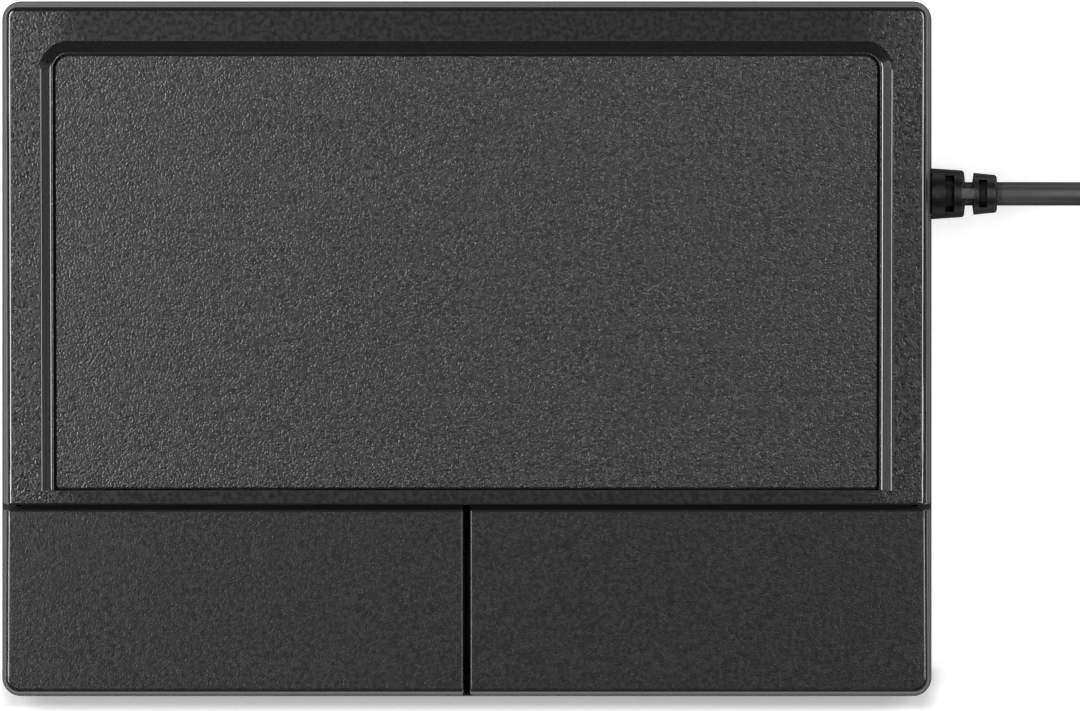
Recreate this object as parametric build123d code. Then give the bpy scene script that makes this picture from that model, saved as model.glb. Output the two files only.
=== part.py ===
from build123d import *
import math
import os

os.makedirs("parts", exist_ok=True)

# The trackpad stands on its feet on z = 0, centred on x = 0 and y = 0, with its two buttons towards -Y and
# its cable leaving towards +X. All lengths are in millimetres and all angles in degrees.

# Outer form
width = 120.0
depth = 89.7
height_front = 12.0  # desk to the sloping top, at the front edge
height_back = 18.9  # desk to the sloping top, at the back edge
parting_height = 7.0  # desk to the line where the two housings meet
corner_radius = 2.4
sharpest_corner = 0.3
button_draft = 6.0  # how far the buttons' walls lean inwards
lip_draft = 4.5  # and the lip between the housings
base_draft = 6.0  # how far the lower walls lean inwards, going down
wall = 1.8
overrun = 1.0  # how far a cut passes what it cuts
contact = 0.02  # radial clearance of pieces that grip each other
fit = 0.05  # clearance of pieces that slide together
ease = 0.1  # clearance of fixed pieces that lie side by side

# Bottom case
foot_stand = 1.2  # desk to the underside of the case
base_edge_radius = 0.8
lip_height = 1.2
lip_thickness = 0.8
floor_rib_height = 0.7
floor_rib_thickness = 1.0
floor_rib_x_shares = (-0.3, 0.1, 0.3)  # shares of half the width
floor_rib_y_shares = (-0.12, 0.62)  # shares of half the depth

# Front wall of the bottom case, inside the buttons
front_lip_clearance = 0.5
front_lip_height = 1.6

# Feet
foot_radius = 5.0
foot_recess = 0.8
foot_from_side = 12.5
foot_from_end = 10.5
foot_edge_radius = 0.3

# Case screws, one near each corner
screw_radius = 1.0
screw_length = 8.0
screw_head_radius = 1.9
screw_head_height = 1.2
screw_cross_length = 2.2
screw_cross_width = 0.5
screw_cross_depth = 0.6
screw_well_clearance = 0.3
screw_well_depth = 1.5
screw_hole_clearance = 0.2
screw_column_wall = 1.5
back_boss_radius = 2.2
front_boss_radius = 1.75
back_boss_from_side = 5.1
back_boss_from_end = 5.15
front_boss_from_side = 4.3
front_boss_behind_bar = 3.3

# Top cover
cover_step = 0.1  # the cover stands this far inside the rim of the case
cover_top_inset = 0.85  # and its sloping top, before its edge is rounded
cover_edge_radius = 0.8
seam_edge_radius = 0.2
rim_side = 6.92  # outside of the case to the opening, at the sides
rim_back = 7.04  # and at the back
bar_width = 1.74
bar_web_bottom = 3.6  # parting line to the underside of the bar between opening and buttons
opening_corner_radius = 2.1
slope_run = 1.57  # width of the sloping side of the recess
slope_drop = 0.75
slope_edge_radius = 0.45
slope_foot_radius = 0.3

# Touch surface and what lies under it
pad_gap = 0.38
pad_drop = 0.9  # rim to touch surface
pad_thickness = 0.7
glue_thickness = 0.2
glue_inset = 0.5
sensor_thickness = 1.0
sensor_lap = 1.1  # how far the sensor board reaches under the rim
plate_thickness = 0.6
plate_inset = 4.2
plate_window_u_shares = (-0.72, 0.12)  # shares of half the opening's width
plate_window_v_shares = (-0.32, 0.4)  # shares of half the opening's depth
support_radius_low = 2.7
support_radius_high = 2.0
support_hole_radius = 1.0
support_shares = ((-0.72, 0.6), (0, 0.62), (0.66, 0.66), (-0.72, -0.12), (0.22, -0.1))

# Buttons
button_depth = 24.13
seam_gap = 0.68
slot_width = 0.84
cap_wall = 1.5
cap_edge_radius = 0.7
cap_inner_edge_radius = 0.25
skirt_clearance = 0.3  # left under a button's front skirt when it is fully pressed
cap_rib_thickness = 1.0
cap_rib_depth = 0.8
cap_rib_shares = (0.2, 0.8)  # shares of a button's width
seam_ledge_thickness = 0.9  # the ledge at a button's back that closes the seam from below
seam_ledge_reach = 1.4  # how far it goes under the bar
seam_ledge_clearance = 0.3  # left between it and the bar
button_travel = 1.0  # about the hinge

# Hinges of the buttons
hinge_behind_bar = 2.3
hinge_above_parting = 1.4
pivot_radius = 1.1
pivot_clearance = 0.08
arm_thickness = 3.0
arm_eye_radius = 1.5
arm_root_depth = 4.6
ear_thickness = 2.6
ear_gap = 0.3
ear_half_depth = 2.2
ear_above_pivot = 1.9
pivot_length = 2.5
inner_arm_from_middle = 8.0
outer_arm_from_side = 12.0

# Hooks that hold the buttons down
hook_width = 3.0
hook_thickness = 0.8
hook_barb = 0.6
hook_barb_height = 0.8
hook_behind_lip = 1.1
hook_play = 0.2
ledge_height = 0.9
ledge_depth = 0.8
ledge_below_parting = 0.2
hook_shares = (0.24, 0.76)  # shares of a button's width

# Main board
board_thickness = 1.2
board_stand = 2.2  # inside floor to the underside of the board
board_side_clearance = 10.0
board_behind_lip = 2.3
board_depth = 14.3
board_post_radius = 2.4
board_screw_length = 4.0
board_screw_from_side = 3.0
board_screw_from_front = 2.8
board_inner_screw_share = 0.339  # x of the inner screws, as a share of half the board

# Click switches
switch_x = 29.0
switch_side = 6.0
switch_body_height = 3.1
switch_plate_thickness = 0.3
switch_well_radius = 2.2
switch_well_depth = 1.9
switch_tab_width = 4.0
switch_tab_height = 1.5
switch_from_front = 5.0  # front edge of the board to the plunger's axis
plunger_radius = 1.7
plunger_flange_radius = 2.1
plunger_flange_height = 0.7
plunger_stand = 0.55
plunger_hole_clearance = 0.1
press_boss_radius = 2.0
press_gap = 0.08

# Chips and small parts
controller_side = 7.0
controller_height = 0.85
controller_place_shares = (-0.18, 0.05)  # shares of half the opening
usb_chip_side = 7.0
usb_chip_height = 1.4
usb_chip_x = 13.0
crystal_length = 5.0
crystal_width = 3.2
crystal_height = 1.3
crystal_x = 5.2
capacitor_length = 1.6
capacitor_width = 0.8
capacitor_height = 0.8
capacitor_pitch = 2.4
capacitor_from_chip = 0.15
board_capacitor_count = 4
sensor_capacitor_count = 6
part_edge_radius = 0.15

# Ribbon cable between the sensor board and the main board
ribbon_place_share = -0.5275  # centre of the ribbon, as a share of half the opening
ribbon_width = 10.0
ribbon_thickness = 0.3
ribbon_bend_radius = 3.0
socket_wall = 1.0
socket_depth = 4.0
board_socket_height = 1.6
sensor_socket_height = 1.8
sensor_socket_v_share = -0.1  # share of half the opening's depth
ribbon_slack_shares = (0.42, 0.68)  # where the ribbon bends, as shares of its way forward

# Cable connector on the main board
header_from_side = 24.0
header_width = 9.0
header_depth = 5.0
header_height = 3.4
connector_width = 8.0
connector_height = 2.4
connector_length = 6.4
connector_seat = 3.5
pin_pitch = 1.5

# Cable
cord_radius = 1.525
cable_from_back = 24.85
bend_share = 0.45  # how much of a straight run each of the cable's bends takes up
wire_radius = 0.4
wire_spread = 0.55
jacket_end_behind_bar = 12.0
jacket_from_side = 20.0
jacket_turn_from_side = 12.0
jacket_turn_drop = 8.0
jacket_low = 1.5  # how far the cable sinks from its exit to the end of its jacket
cable_peg_radius = 1.2
cable_peg_clearance = 0.25

# Strain relief
relief_neck_radius = 2.7
relief_flange_radius = 3.8
relief_flange_thickness = 1.2
relief_rib_thickness = 1.4
relief_wall_clearance = 0.7  # inner flange to the inside of the wall, at the parting line
relief_rib_half_width = 5.2
block_length = (4.3, 3.17)  # the two blocks outside the housing
block_radius_near = (3.3, 2.72)
block_radius_far = (3.02, 2.42)
block_round = 0.4
block_gap = 0.93
gap_flare = 0.17  # how much the gap widens on each side from the cable to its rim
window_length = (1.2, 1.1)
window_place_shares = (0.52, 0.42)  # centre of each window along its block
window_half_width = (2.35, 1.8)
window_sleeve_lap = 0.12  # how far the sleeve at the foot of a window reaches into its side strips
bridge_width = 1.3

# Coil of the cable
coil_pitch = 3.6
coil_layers = 4
coil_turns_per_layer = 3.2083  # a sixth of a turn short of a whole number in all, so it ends at 150 degrees
coil_outer_radius = 23.0
coil_from_view = 83.2  # the coil's near side, from the middle of the case
coil_start_angle = 90.0
climb_turns = 0.25  # half the stretch in which the cable climbs to the next layer
arcs_per_turn = 4
least_arc_turns = 0.1  # a last arc shorter than this is joined to the one before it

# Plug
plug_stand = 4.0  # half the height of the plug's grip
grip_width = 15.5
grip_length = 22.0
grip_edge_radius = 1.6
boot_length = 9.0
boot_radius_near = 2.4
boot_radius_far = 3.4
boot_groove_count = 3
boot_groove_width = 1.0
boot_groove_depth = 0.5
shell_width = 12.0
shell_height = 4.5
shell_wall = 0.3
shell_length = 12.0
shell_corner_radius = 0.5
shell_hole_side = 2.2
shell_hole_spread = 2.9
shell_hole_from_mouth = 6.0
tongue_thickness = 1.84
tongue_setback = 0.5
plug_contact_width = 1.0
plug_contact_thickness = 0.15
plug_contact_length = 8.0
plug_contact_spread_shares = (-3.5, -1.0, 1.0, 3.5)  # in units of the contact width

# Routes of the free cable, chosen by hand. The stretch is seen from above as straight.
stretch_bend_x = (78.0, 94.5)
stretch_bend_height = (7.0, 1.525)
tail_route = ((9.0, 0.0, 0.0), (-4.0, 29.6, 11.3), (10.0, 31.2, 9.2), (25.5, 24.2, 6.6), (33.6, 12.4, 4.0))
tail_end = (33.6, 1.4, 4.0)

# Worked out from the sizes above
half_width = width / 2
half_depth = depth / 2
tilt = math.degrees(math.atan2(height_back - height_front, depth))
tilt_sin = math.sin(math.radians(tilt))
tilt_cos = math.cos(math.radians(tilt))
floor_height = foot_stand + wall
cap_back = -half_depth + button_depth
bar_front = cap_back + seam_gap
bar_back = bar_front + bar_width
opening_half_width = half_width - rim_side
opening_back = half_depth - rim_back
cable_y = half_depth - cable_from_back
board_under = floor_height + board_stand
board_top = board_under + board_thickness
lip_inset = wall - lip_thickness
front_lip_inset = cap_wall + front_lip_clearance
front_wall = front_lip_inset + lip_thickness
board_front = -half_depth + front_wall + board_behind_lip
board_half_width = half_width - front_wall - board_side_clearance
switch_y = board_front + switch_from_front
switch_top = board_top + switch_body_height + switch_plate_thickness
plunger_top = switch_top + plunger_stand
hinge_y = bar_back + hinge_behind_bar
hinge_z = parting_height + hinge_above_parting
cap_lift = skirt_clearance + (hinge_y + half_depth) * math.tan(math.radians(button_travel))
outer_arm_x = half_width - outer_arm_from_side
seam_ledge_top = parting_height + bar_web_bottom - seam_ledge_clearance
ribbon_x = ribbon_place_share * opening_half_width
header_x = half_width - header_from_side
jacket_x = half_width - jacket_from_side
jacket_turn_start = half_width - jacket_turn_from_side
coil_x = coil_from_view + coil_outer_radius + cord_radius
coil_y = cable_y - coil_outer_radius
coil_turns = coil_layers * coil_turns_per_layer


def top_height(y):
    """Height of the sloping top above the desk."""
    return height_front + (y + half_depth) * (height_back - height_front) / depth


deck = Plane(origin=(0, 0, top_height(0)), x_dir=(1, 0, 0), z_dir=(0, -tilt_sin, tilt_cos))


def on_deck(y):
    """Where a line across the top lies, measured along its slope."""
    return y / tilt_cos


opening_v = (on_deck(bar_back), on_deck(opening_back))


def span(x, y, z):
    """A box between two limits along each axis."""
    sizes = [high - low for low, high in (x, y, z)]
    centre = [(high + low) / 2 for low, high in (x, y, z)]
    return Pos(*centre) * Box(*sizes)


def column(x, y, low, high, radius):
    """An upright cylinder between two heights."""
    return Pos(x, y, (low + high) / 2) * Cylinder(radius, high - low)


def across(x, y, z, radius):
    """A cylinder along X between two limits."""
    return Pos((x[0] + x[1]) / 2, y, z) * Rot(0, 90, 0) * Cylinder(radius, x[1] - x[0])


def below_deck(shape, drop):
    """What of a shape lies at least that far under the sloping top."""
    return split(shape, bisect_by=deck.offset(-drop), keep=Keep.BOTTOM)


def slab(inset, low, high, draft):
    """The plan outline between two heights, drawn in by inset at the parting line, with leaning walls."""
    outlines = []
    for z in (low, high):
        lean = inset + (z - parting_height) * math.tan(math.radians(draft))
        corner = max(corner_radius - lean, sharpest_corner)
        outlines.append(Pos(0, 0, z) * RectangleRounded(width - 2 * lean, depth - 2 * lean, corner))
    return loft(outlines, ruled=True)


def ring(inset, thickness, low, high, draft):
    """An upright lip that follows the plan outline."""
    outside = slab(inset, low, high, draft)
    return outside - slab(inset + thickness, low - overrun, high + overrun, draft)


def button_block(inset, low, drop):
    """The space between a height and the sloping top, with the buttons' leaning walls."""
    return below_deck(slab(inset, low, height_back + overrun, button_draft), drop)


def cover_inset(y, z):
    """How far the cover's outer wall lies inside the outline at a place, by its straight lines upwards."""
    share = (z - parting_height) / (top_height(y) - parting_height)
    return cover_step + share * (cover_top_inset - cover_step)


def cover_block(inset, drop):
    """The space from the parting line to the sloping top, with straight walls between two outlines."""
    low = cover_step + inset
    high = cover_top_inset + inset
    corners = [max(corner_radius - lean, sharpest_corner) for lean in (low, high)]
    foot = RectangleRounded(width - 2 * low, depth - 2 * low, corners[0])
    top = RectangleRounded(width - 2 * high, on_deck(depth - 2 * high), corners[1])
    block = loft([Pos(0, 0, parting_height) * foot, deck * top], ruled=True)
    return below_deck(block, drop) if drop > 0 else block


def fillet_top(block, radius):
    """Rounds the edge all round the sloping top."""
    top = block.faces().sort_by(Axis.Z)[-1]
    return fillet(top.edges(), radius)


def behind(y):
    """Everything further back than y."""
    reach = half_width + overrun
    return span((-reach, reach), (y, half_depth + overrun), (-overrun, height_back + 2 * overrun))


def in_front(y):
    """Everything further forward than y."""
    reach = half_width + overrun
    return span((-reach, reach), (-half_depth - overrun, y), (-overrun, height_back + 2 * overrun))


def deck_outline(grow, w, front_grow=0):
    """The outline of the opening on the sloping top, grown outwards, at a distance w above that top."""
    low = opening_v[0] - grow - front_grow
    high = opening_v[1] + grow
    half = opening_half_width + grow
    radius = opening_corner_radius + grow
    with_corners = Rectangle(2 * half, high - low)
    back_corners = with_corners.vertices().group_by(Axis.Y)[-1]
    rounded = fillet(back_corners, radius)
    return deck * Pos(0, (low + high) / 2, w) * rounded


def deck_box(u, v, w):
    """A box in the directions of the sloping top."""
    return deck * span(u, v, w)


def case_screw_places():
    """Each corner's x, y and boss radius."""
    back = (half_width - back_boss_from_side, half_depth - back_boss_from_end, back_boss_radius)
    front = (half_width - front_boss_from_side, bar_back + front_boss_behind_bar, front_boss_radius)
    return [(side * x, y, radius) for x, y, radius in (back, front) for side in (-1, 1)]


def board_screw_places():
    outer_x = board_half_width - board_screw_from_side
    outer_y = board_front + board_screw_from_front
    inner_y = board_front + board_depth - board_screw_from_front
    places = ((outer_x, outer_y), (board_inner_screw_share * board_half_width, inner_y))
    return [(side * x, y) for x, y in places for side in (-1, 1)]


def foot_places():
    x = half_width - foot_from_side
    y = half_depth - foot_from_end
    return {
        "front_left_foot": (-x, -y),
        "front_right_foot": (x, -y),
        "back_left_foot": (-x, y),
        "back_right_foot": (x, y),
    }


def screw(x, y, seat, length, up):
    """A pan-head screw with a cross recess. Its shank points up or down from the seat."""
    head = Pos(0, 0, -screw_head_height / 2) * Cylinder(screw_head_radius, screw_head_height)
    head = fillet(head.edges().sort_by(Axis.Z)[0], screw_head_height / 2)
    shank = Pos(0, 0, length / 2) * Cylinder(screw_radius, length)
    shank = chamfer(shank.edges().sort_by(Axis.Z)[-1], screw_radius / 2)
    slot_place = Pos(0, 0, -screw_head_height + screw_cross_depth / 2)
    cross = slot_place * Box(screw_cross_length, screw_cross_width, screw_cross_depth)
    cross += slot_place * Box(screw_cross_width, screw_cross_length, screw_cross_depth)
    way = Rot(0, 0, 0) if up else Rot(180, 0, 0)
    return Pos(x, y, seat) * way * (head + shank - cross)


def relief_stations():
    """Where the strain relief's flanges and seats lie along X, from the outside inwards."""
    outside = half_width + contact
    flange_far = half_width - wall - relief_wall_clearance
    flange_near = flange_far - relief_flange_thickness
    rib_far = flange_near - ease
    rib_near = rib_far - relief_rib_thickness
    tail_far = rib_near - ease
    return outside, flange_far, flange_near, rib_far, rib_near, tail_far, tail_far - relief_flange_thickness


def bottom_case():
    """The tray: leaning walls, lip, screw columns, board posts, supports, hinge ears and cable seat."""
    outer = slab(0, foot_stand, parting_height, -base_draft)
    outer = fillet(outer.faces().sort_by(Axis.Z)[0].edges(), base_edge_radius)
    split_y = (cap_back + bar_front) / 2
    room = slab(wall, floor_height, parting_height + overrun, -base_draft) & behind(split_y)
    room += slab(front_wall, floor_height, parting_height + overrun, -base_draft) & in_front(split_y)
    case = outer - room
    lip_foot = parting_height - overrun
    lip = ring(lip_inset, lip_thickness, lip_foot, parting_height + lip_height, lip_draft)
    case += lip & behind(bar_front + ease)
    lip = ring(front_lip_inset, lip_thickness, lip_foot, parting_height + front_lip_height, 0)
    case += lip & in_front(cap_back)

    inside = half_width - wall - overrun
    rib_low = foot_stand + wall / 2
    rib_top = floor_height + floor_rib_height
    rib_half = floor_rib_thickness / 2
    for share in floor_rib_x_shares:
        x = share * half_width
        case += span((x - rib_half, x + rib_half), (hinge_y, half_depth - wall), (rib_low, rib_top))
    for share in floor_rib_y_shares:
        y = share * half_depth
        case += span((-inside, inside), (y - rib_half, y + rib_half), (rib_low, rib_top))

    for x, y, radius in case_screw_places():
        column_radius = screw_radius + screw_hole_clearance + screw_column_wall
        case += column(x, y, floor_height - wall / 2, parting_height + fit, column_radius)
    for x, y in board_screw_places():
        case += column(x, y, floor_height - wall / 2, board_under, board_post_radius)

    plate_under = wall + sensor_thickness + plate_thickness + ease
    for share_u, share_v in support_shares:
        x = share_u * opening_half_width
        y = (bar_back + opening_back) / 2 + share_v * (opening_back - bar_back) / 2
        low = floor_height - wall / 2
        high = height_back
        cone = Cone(support_radius_low, support_radius_high, high - low)
        bore = Cylinder(support_hole_radius, high - low)
        case += below_deck(Pos(x, y, (low + high) / 2) * (cone - bore), plate_under)

    for side in (-1, 1):
        for arm_x, pin_side in ((inner_arm_from_middle, -1), (outer_arm_x, 1)):
            near = arm_x + pin_side * (arm_thickness / 2 + ear_gap)
            x = sorted((side * near, side * (near + pin_side * ear_thickness)))
            y = (hinge_y - ear_half_depth, hinge_y + ear_half_depth)
            case += span(x, y, (floor_height - wall / 2, hinge_z + ear_above_pivot))

    _, _, _, rib_far, rib_near, _, _ = relief_stations()
    y = (cable_y - relief_rib_half_width, cable_y + relief_rib_half_width)
    case += span((rib_near, rib_far), y, (floor_height - wall / 2, parting_height - fit))
    for x, y in cable_peg_places():
        case += column(x, y, floor_height - wall / 2, parting_height + cord_radius, cable_peg_radius)

    ledge_y = -half_depth + front_wall
    for x in hook_places():
        x_limits = (x - hook_width, x + hook_width)
        z_top = parting_height - ledge_below_parting
        case += span(x_limits, (ledge_y - contact, ledge_y + ledge_depth), (z_top - ledge_height, z_top))

    for x, y, radius in case_screw_places():
        hole = screw_radius + screw_hole_clearance
        well = screw_head_radius + screw_well_clearance
        case -= column(x, y, 0, parting_height + overrun, hole)
        case -= column(x, y, 0, foot_stand + screw_well_depth, well)
    for x, y in board_screw_places():
        low = board_top - board_screw_length - ease
        case -= column(x, y, low, board_under + overrun, screw_radius + contact)
    for x, y in foot_places().values():
        case -= column(x, y, 0, foot_stand + foot_recess, foot_radius + ease)
    ear_reach = outer_arm_x + arm_thickness / 2 + ear_gap + pivot_length
    case -= across((-ear_reach, ear_reach), hinge_y, hinge_z, pivot_radius + pivot_clearance)
    hole = relief_neck_radius + ease
    case -= across((rib_near - overrun, half_width + overrun), cable_y, parting_height, hole)
    return case


def hook_places():
    """The x of every hook: two under each button."""
    button_width = half_width - slot_width / 2
    return [side * (slot_width / 2 + share * button_width) for share in hook_shares for side in (-1, 1)]


def cable_peg_places():
    """Two pegs that the cable bends between, one each side of its slanting run."""
    middle_x = (jacket_turn_start + jacket_x) / 2
    middle_y = cable_y - jacket_turn_drop / 2
    run = math.hypot(jacket_turn_start - jacket_x, jacket_turn_drop)
    away = cord_radius + cable_peg_radius + cable_peg_clearance
    out_x = away * jacket_turn_drop / run
    out_y = away * (jacket_turn_start - jacket_x) / run
    return [(middle_x + out_x, middle_y - out_y), (middle_x - out_x, middle_y + out_y)]


def top_cover():
    """The upper housing: rim, sloping recess round the opening, bar, bosses and cable clamp."""
    outer = fillet_top(cover_block(0, 0), cover_edge_radius)
    front_rim = outer & behind(bar_front)
    along_seam = front_rim.edges().filter_by(Axis.X)
    along_seam = along_seam.filter_by_position(Axis.Y, bar_front - fit, bar_front + fit)
    cover = fillet(along_seam.sort_by(Axis.Z)[-1], seam_edge_radius)
    cover -= cover_block(wall, wall) & behind(bar_back)
    under_bar = half_width - wall - cover_inset(bar_front, parting_height + bar_web_bottom)
    below = (parting_height - overrun, parting_height + bar_web_bottom)
    cover -= span((-under_bar, under_bar), (bar_front - overrun, bar_back + overrun), below)
    rebate = slab(lip_inset - fit, parting_height - overrun, parting_height + lip_height + ease, lip_draft)
    cover -= rebate

    funnel = loft([deck_outline(0, -slope_drop), deck_outline(2 * slope_run, slope_drop)], ruled=True)
    far = (opening_v[0], opening_v[1] + half_depth)
    reach = half_width
    funnel &= deck_box((-reach, reach), far, (-slope_drop, slope_drop))
    cover -= funnel
    height = wall + overrun - slope_drop / 2
    cover -= extrude(deck_outline(0, -wall - overrun), amount=height, dir=deck.z_dir)
    cover = fillet(recess_edges(cover, 0), slope_edge_radius)
    cover = fillet(recess_edges(cover, -slope_drop), slope_foot_radius)

    for x, y, radius in case_screw_places():
        boss = column(x, y, parting_height + fit + ease, height_back, radius)
        cover += below_deck(boss, wall / 2)
    _, _, _, rib_far, rib_near, _, _ = relief_stations()
    y = (cable_y - relief_rib_half_width, cable_y + relief_rib_half_width)
    cover += below_deck(span((rib_near, rib_far), y, (parting_height + fit, height_back)), wall / 2)
    for x, y, radius in case_screw_places():
        top = foot_stand + screw_well_depth + screw_length + ease
        cover -= column(x, y, parting_height, top, screw_radius + contact)
    hole = relief_neck_radius + ease
    cover -= across((rib_near - overrun, half_width + overrun), cable_y, parting_height, hole)
    return cover


def recess_edges(cover, w):
    """The edges round the sides and back of the recess at one depth below the rim."""
    found = []
    for edge in cover.edges():
        ends = [deck.to_local_coords(edge @ t) for t in (0, 0.5, 1)]
        level = all(abs(p.Z - w) < contact for p in ends)
        u_far = opening_half_width + slope_run + contact
        v_far = opening_v[1] + slope_run + contact
        inside = all(abs(p.X) < u_far and opening_v[0] - contact < p.Y < v_far for p in ends)
        along_bar = all(abs(p.Y - opening_v[0]) < contact for p in ends)
        if level and inside and not along_bar:
            found.append(edge)
    return found


def pad_outline(inset, w):
    """The touch surface's outline, with round corners at the back and nearly sharp ones at the front."""
    low = opening_v[0] + pad_gap + inset
    high = opening_v[1] - pad_gap - inset
    half = opening_half_width - pad_gap - inset
    outline = Rectangle(2 * half, high - low)
    back = outline.vertices().group_by(Axis.Y)[-1]
    outline = fillet(back, opening_corner_radius - pad_gap)
    front = outline.vertices().group_by(Axis.Y)[0]
    outline = fillet(front, sharpest_corner)
    return deck * Pos(0, (low + high) / 2, w) * outline


def touch_surface():
    return extrude(pad_outline(0, -pad_drop - pad_thickness), amount=pad_thickness, dir=deck.z_dir)


def overlay_adhesive():
    low = -pad_drop - pad_thickness - glue_thickness
    return extrude(pad_outline(glue_inset, low), amount=glue_thickness, dir=deck.z_dir)


def sensor_board():
    """The circuit board under the touch surface, notched round the case screws' bosses."""
    half = opening_half_width + sensor_lap
    v = (opening_v[0] + ease, opening_v[1] + sensor_lap)
    board = deck_box((-half, half), v, (-wall - sensor_thickness, -wall))
    for x, y, radius in case_screw_places():
        notch = radius + 3 * ease
        board -= column(x, y, parting_height, height_back + overrun, notch)
    return board


def plate_window():
    middle = (opening_v[0] + opening_v[1]) / 2
    half_v = (opening_v[1] - opening_v[0]) / 2
    u = tuple(share * opening_half_width for share in plate_window_u_shares)
    v = tuple(middle + share * half_v for share in plate_window_v_shares)
    return u, v


def backing_plate():
    """The steel plate that stiffens the sensor board, with a window for its chips."""
    low = -wall - sensor_thickness - plate_thickness
    half = opening_half_width - plate_inset
    v = (opening_v[0] + plate_inset, opening_v[1] - plate_inset)
    plate = deck_box((-half, half), v, (low, low + plate_thickness))
    u, v = plate_window()
    return plate - deck_box(u, v, (low - overrun, low + plate_thickness + overrun))


def under_sensor(u, v, height):
    """A small part that hangs from the underside of the sensor board."""
    top = -wall - sensor_thickness
    return deck_box(u, v, (top - height, top))


def deck_share(share_u, share_v):
    """A place on the sensor board given as shares of half the opening."""
    middle = (opening_v[0] + opening_v[1]) / 2
    return share_u * opening_half_width, middle + share_v * (opening_v[1] - opening_v[0]) / 2


def around(centre, size):
    return (centre - size / 2, centre + size / 2)


def touch_controller():
    u, v = deck_share(*controller_place_shares)
    return under_sensor(around(u, controller_side), around(v, controller_side), controller_height)


def sensor_capacitors():
    u, v = deck_share(*controller_place_shares)
    first = u - (sensor_capacitor_count - 1) * capacitor_pitch / 2
    row_v = v - controller_side / 2 - capacitor_length
    parts = []
    for i in range(sensor_capacitor_count):
        u_limits = around(first + i * capacitor_pitch, capacitor_width)
        parts.append(under_sensor(u_limits, around(row_v, capacitor_length), capacitor_height))
    return Compound(children=parts)


def sensor_socket_v():
    return deck_share(0, sensor_socket_v_share)[1]


def sensor_ribbon_socket():
    """The socket that holds the ribbon's back end, open towards the buttons."""
    v = around(sensor_socket_v(), socket_depth)
    u = around(ribbon_x, ribbon_width + 2 * socket_wall)
    body = under_sensor(u, v, sensor_socket_height)
    mid = -wall - sensor_thickness - sensor_socket_height / 2
    mouth = around(mid, ribbon_thickness + 2 * fit)
    u = around(ribbon_x, ribbon_width + 2 * fit)
    return body - deck_box(u, (v[0] - overrun, v[1] - socket_wall), mouth)


def board_ribbon_socket():
    """The socket that holds the ribbon's front end, open towards the back."""
    back = board_front + board_depth
    z = (board_top, board_top + board_socket_height)
    body = span(around(ribbon_x, ribbon_width + 2 * socket_wall), (back - socket_depth, back), z)
    mouth = around(board_top + board_socket_height / 2, ribbon_thickness + 2 * fit)
    x = around(ribbon_x, ribbon_width + 2 * fit)
    return body - span(x, (back - socket_depth + socket_wall, back + overrun), mouth)


def ribbon_cable():
    """The flat cable, bent down from the sensor board to the main board."""
    back_v = sensor_socket_v() + socket_depth / 2 - socket_wall - fit
    back_w = -wall - sensor_thickness - sensor_socket_height / 2
    start = deck.from_local_coords(Vector(ribbon_x, back_v, back_w))
    leave = deck.from_local_coords(Vector(ribbon_x, back_v - 2 * socket_depth, back_w))
    end_y = board_front + board_depth - socket_depth + socket_wall + fit
    end_z = board_top + board_socket_height / 2
    bend_y = [leave.Y + share * (end_y - leave.Y) for share in ribbon_slack_shares]
    points = [start, leave, Vector(ribbon_x, bend_y[0], end_z), Vector(ribbon_x, end_y, end_z)]
    path = FilletPolyline(*points, radius=ribbon_bend_radius)
    across_path = Plane(origin=path @ 0, x_dir=(1, 0, 0), z_dir=path % 0)
    return sweep(across_path * Rectangle(ribbon_width, ribbon_thickness), path=path)


def main_board():
    """The circuit board under the buttons, with its screw holes."""
    y = (board_front, board_front + board_depth)
    board = span((-board_half_width, board_half_width), y, (board_under, board_top))
    upright = board.edges().filter_by(Axis.Z)
    board = fillet(upright, corner_radius / 2)
    for x, y in board_screw_places():
        board -= column(x, y, board_under - overrun, board_top + overrun, screw_radius + screw_hole_clearance)
    return board


def on_board(x, y, length, breadth, height):
    return span(around(x, length), around(y, breadth), (board_top, board_top + height))


def usb_controller():
    body = on_board(usb_chip_x, switch_y, usb_chip_side, usb_chip_side, usb_chip_height)
    return chamfer(body.faces().sort_by(Axis.Z)[-1].edges(), part_edge_radius)


def crystal():
    body = on_board(crystal_x, switch_y, crystal_length, crystal_width, crystal_height)
    return fillet(body.edges().filter_by(Axis.Z), part_edge_radius)


def board_capacitors():
    row_y = switch_y + usb_chip_side / 2 + capacitor_from_chip + capacitor_width / 2
    first = usb_chip_x - (board_capacitor_count - 1) * capacitor_pitch / 2
    parts = []
    for i in range(board_capacitor_count):
        x = first - usb_chip_side / 2 + i * capacitor_pitch
        parts.append(on_board(x, row_y, capacitor_length, capacitor_width, capacitor_height))
    return Compound(children=parts)


def cable_header():
    """The white socket for the cable's connector, open towards the back."""
    back = board_front + board_depth
    z = (board_top, board_top + header_height)
    body = span(around(header_x, header_width), (back - header_depth, back), z)
    middle = board_top + header_height / 2
    mouth = around(middle, connector_height + 2 * fit)
    x = around(header_x, connector_width + 2 * fit)
    return body - span(x, (back - connector_seat - fit, back + overrun), mouth)


def connector_back():
    return board_front + board_depth - connector_seat + connector_length


def cable_connector():
    """The connector on the cable's wires, pushed into the header."""
    y = (connector_back() - connector_length, connector_back())
    middle = board_top + header_height / 2
    return span(around(header_x, connector_width), y, around(middle, connector_height))


def switch_body(side):
    x = side * switch_x
    body = on_board(x, switch_y, switch_side, switch_side, switch_body_height)
    body = fillet(body.edges().filter_by(Axis.Z), part_edge_radius)
    top = board_top + switch_body_height
    return body - column(x, switch_y, top - switch_well_depth, top + overrun, switch_well_radius)


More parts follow.
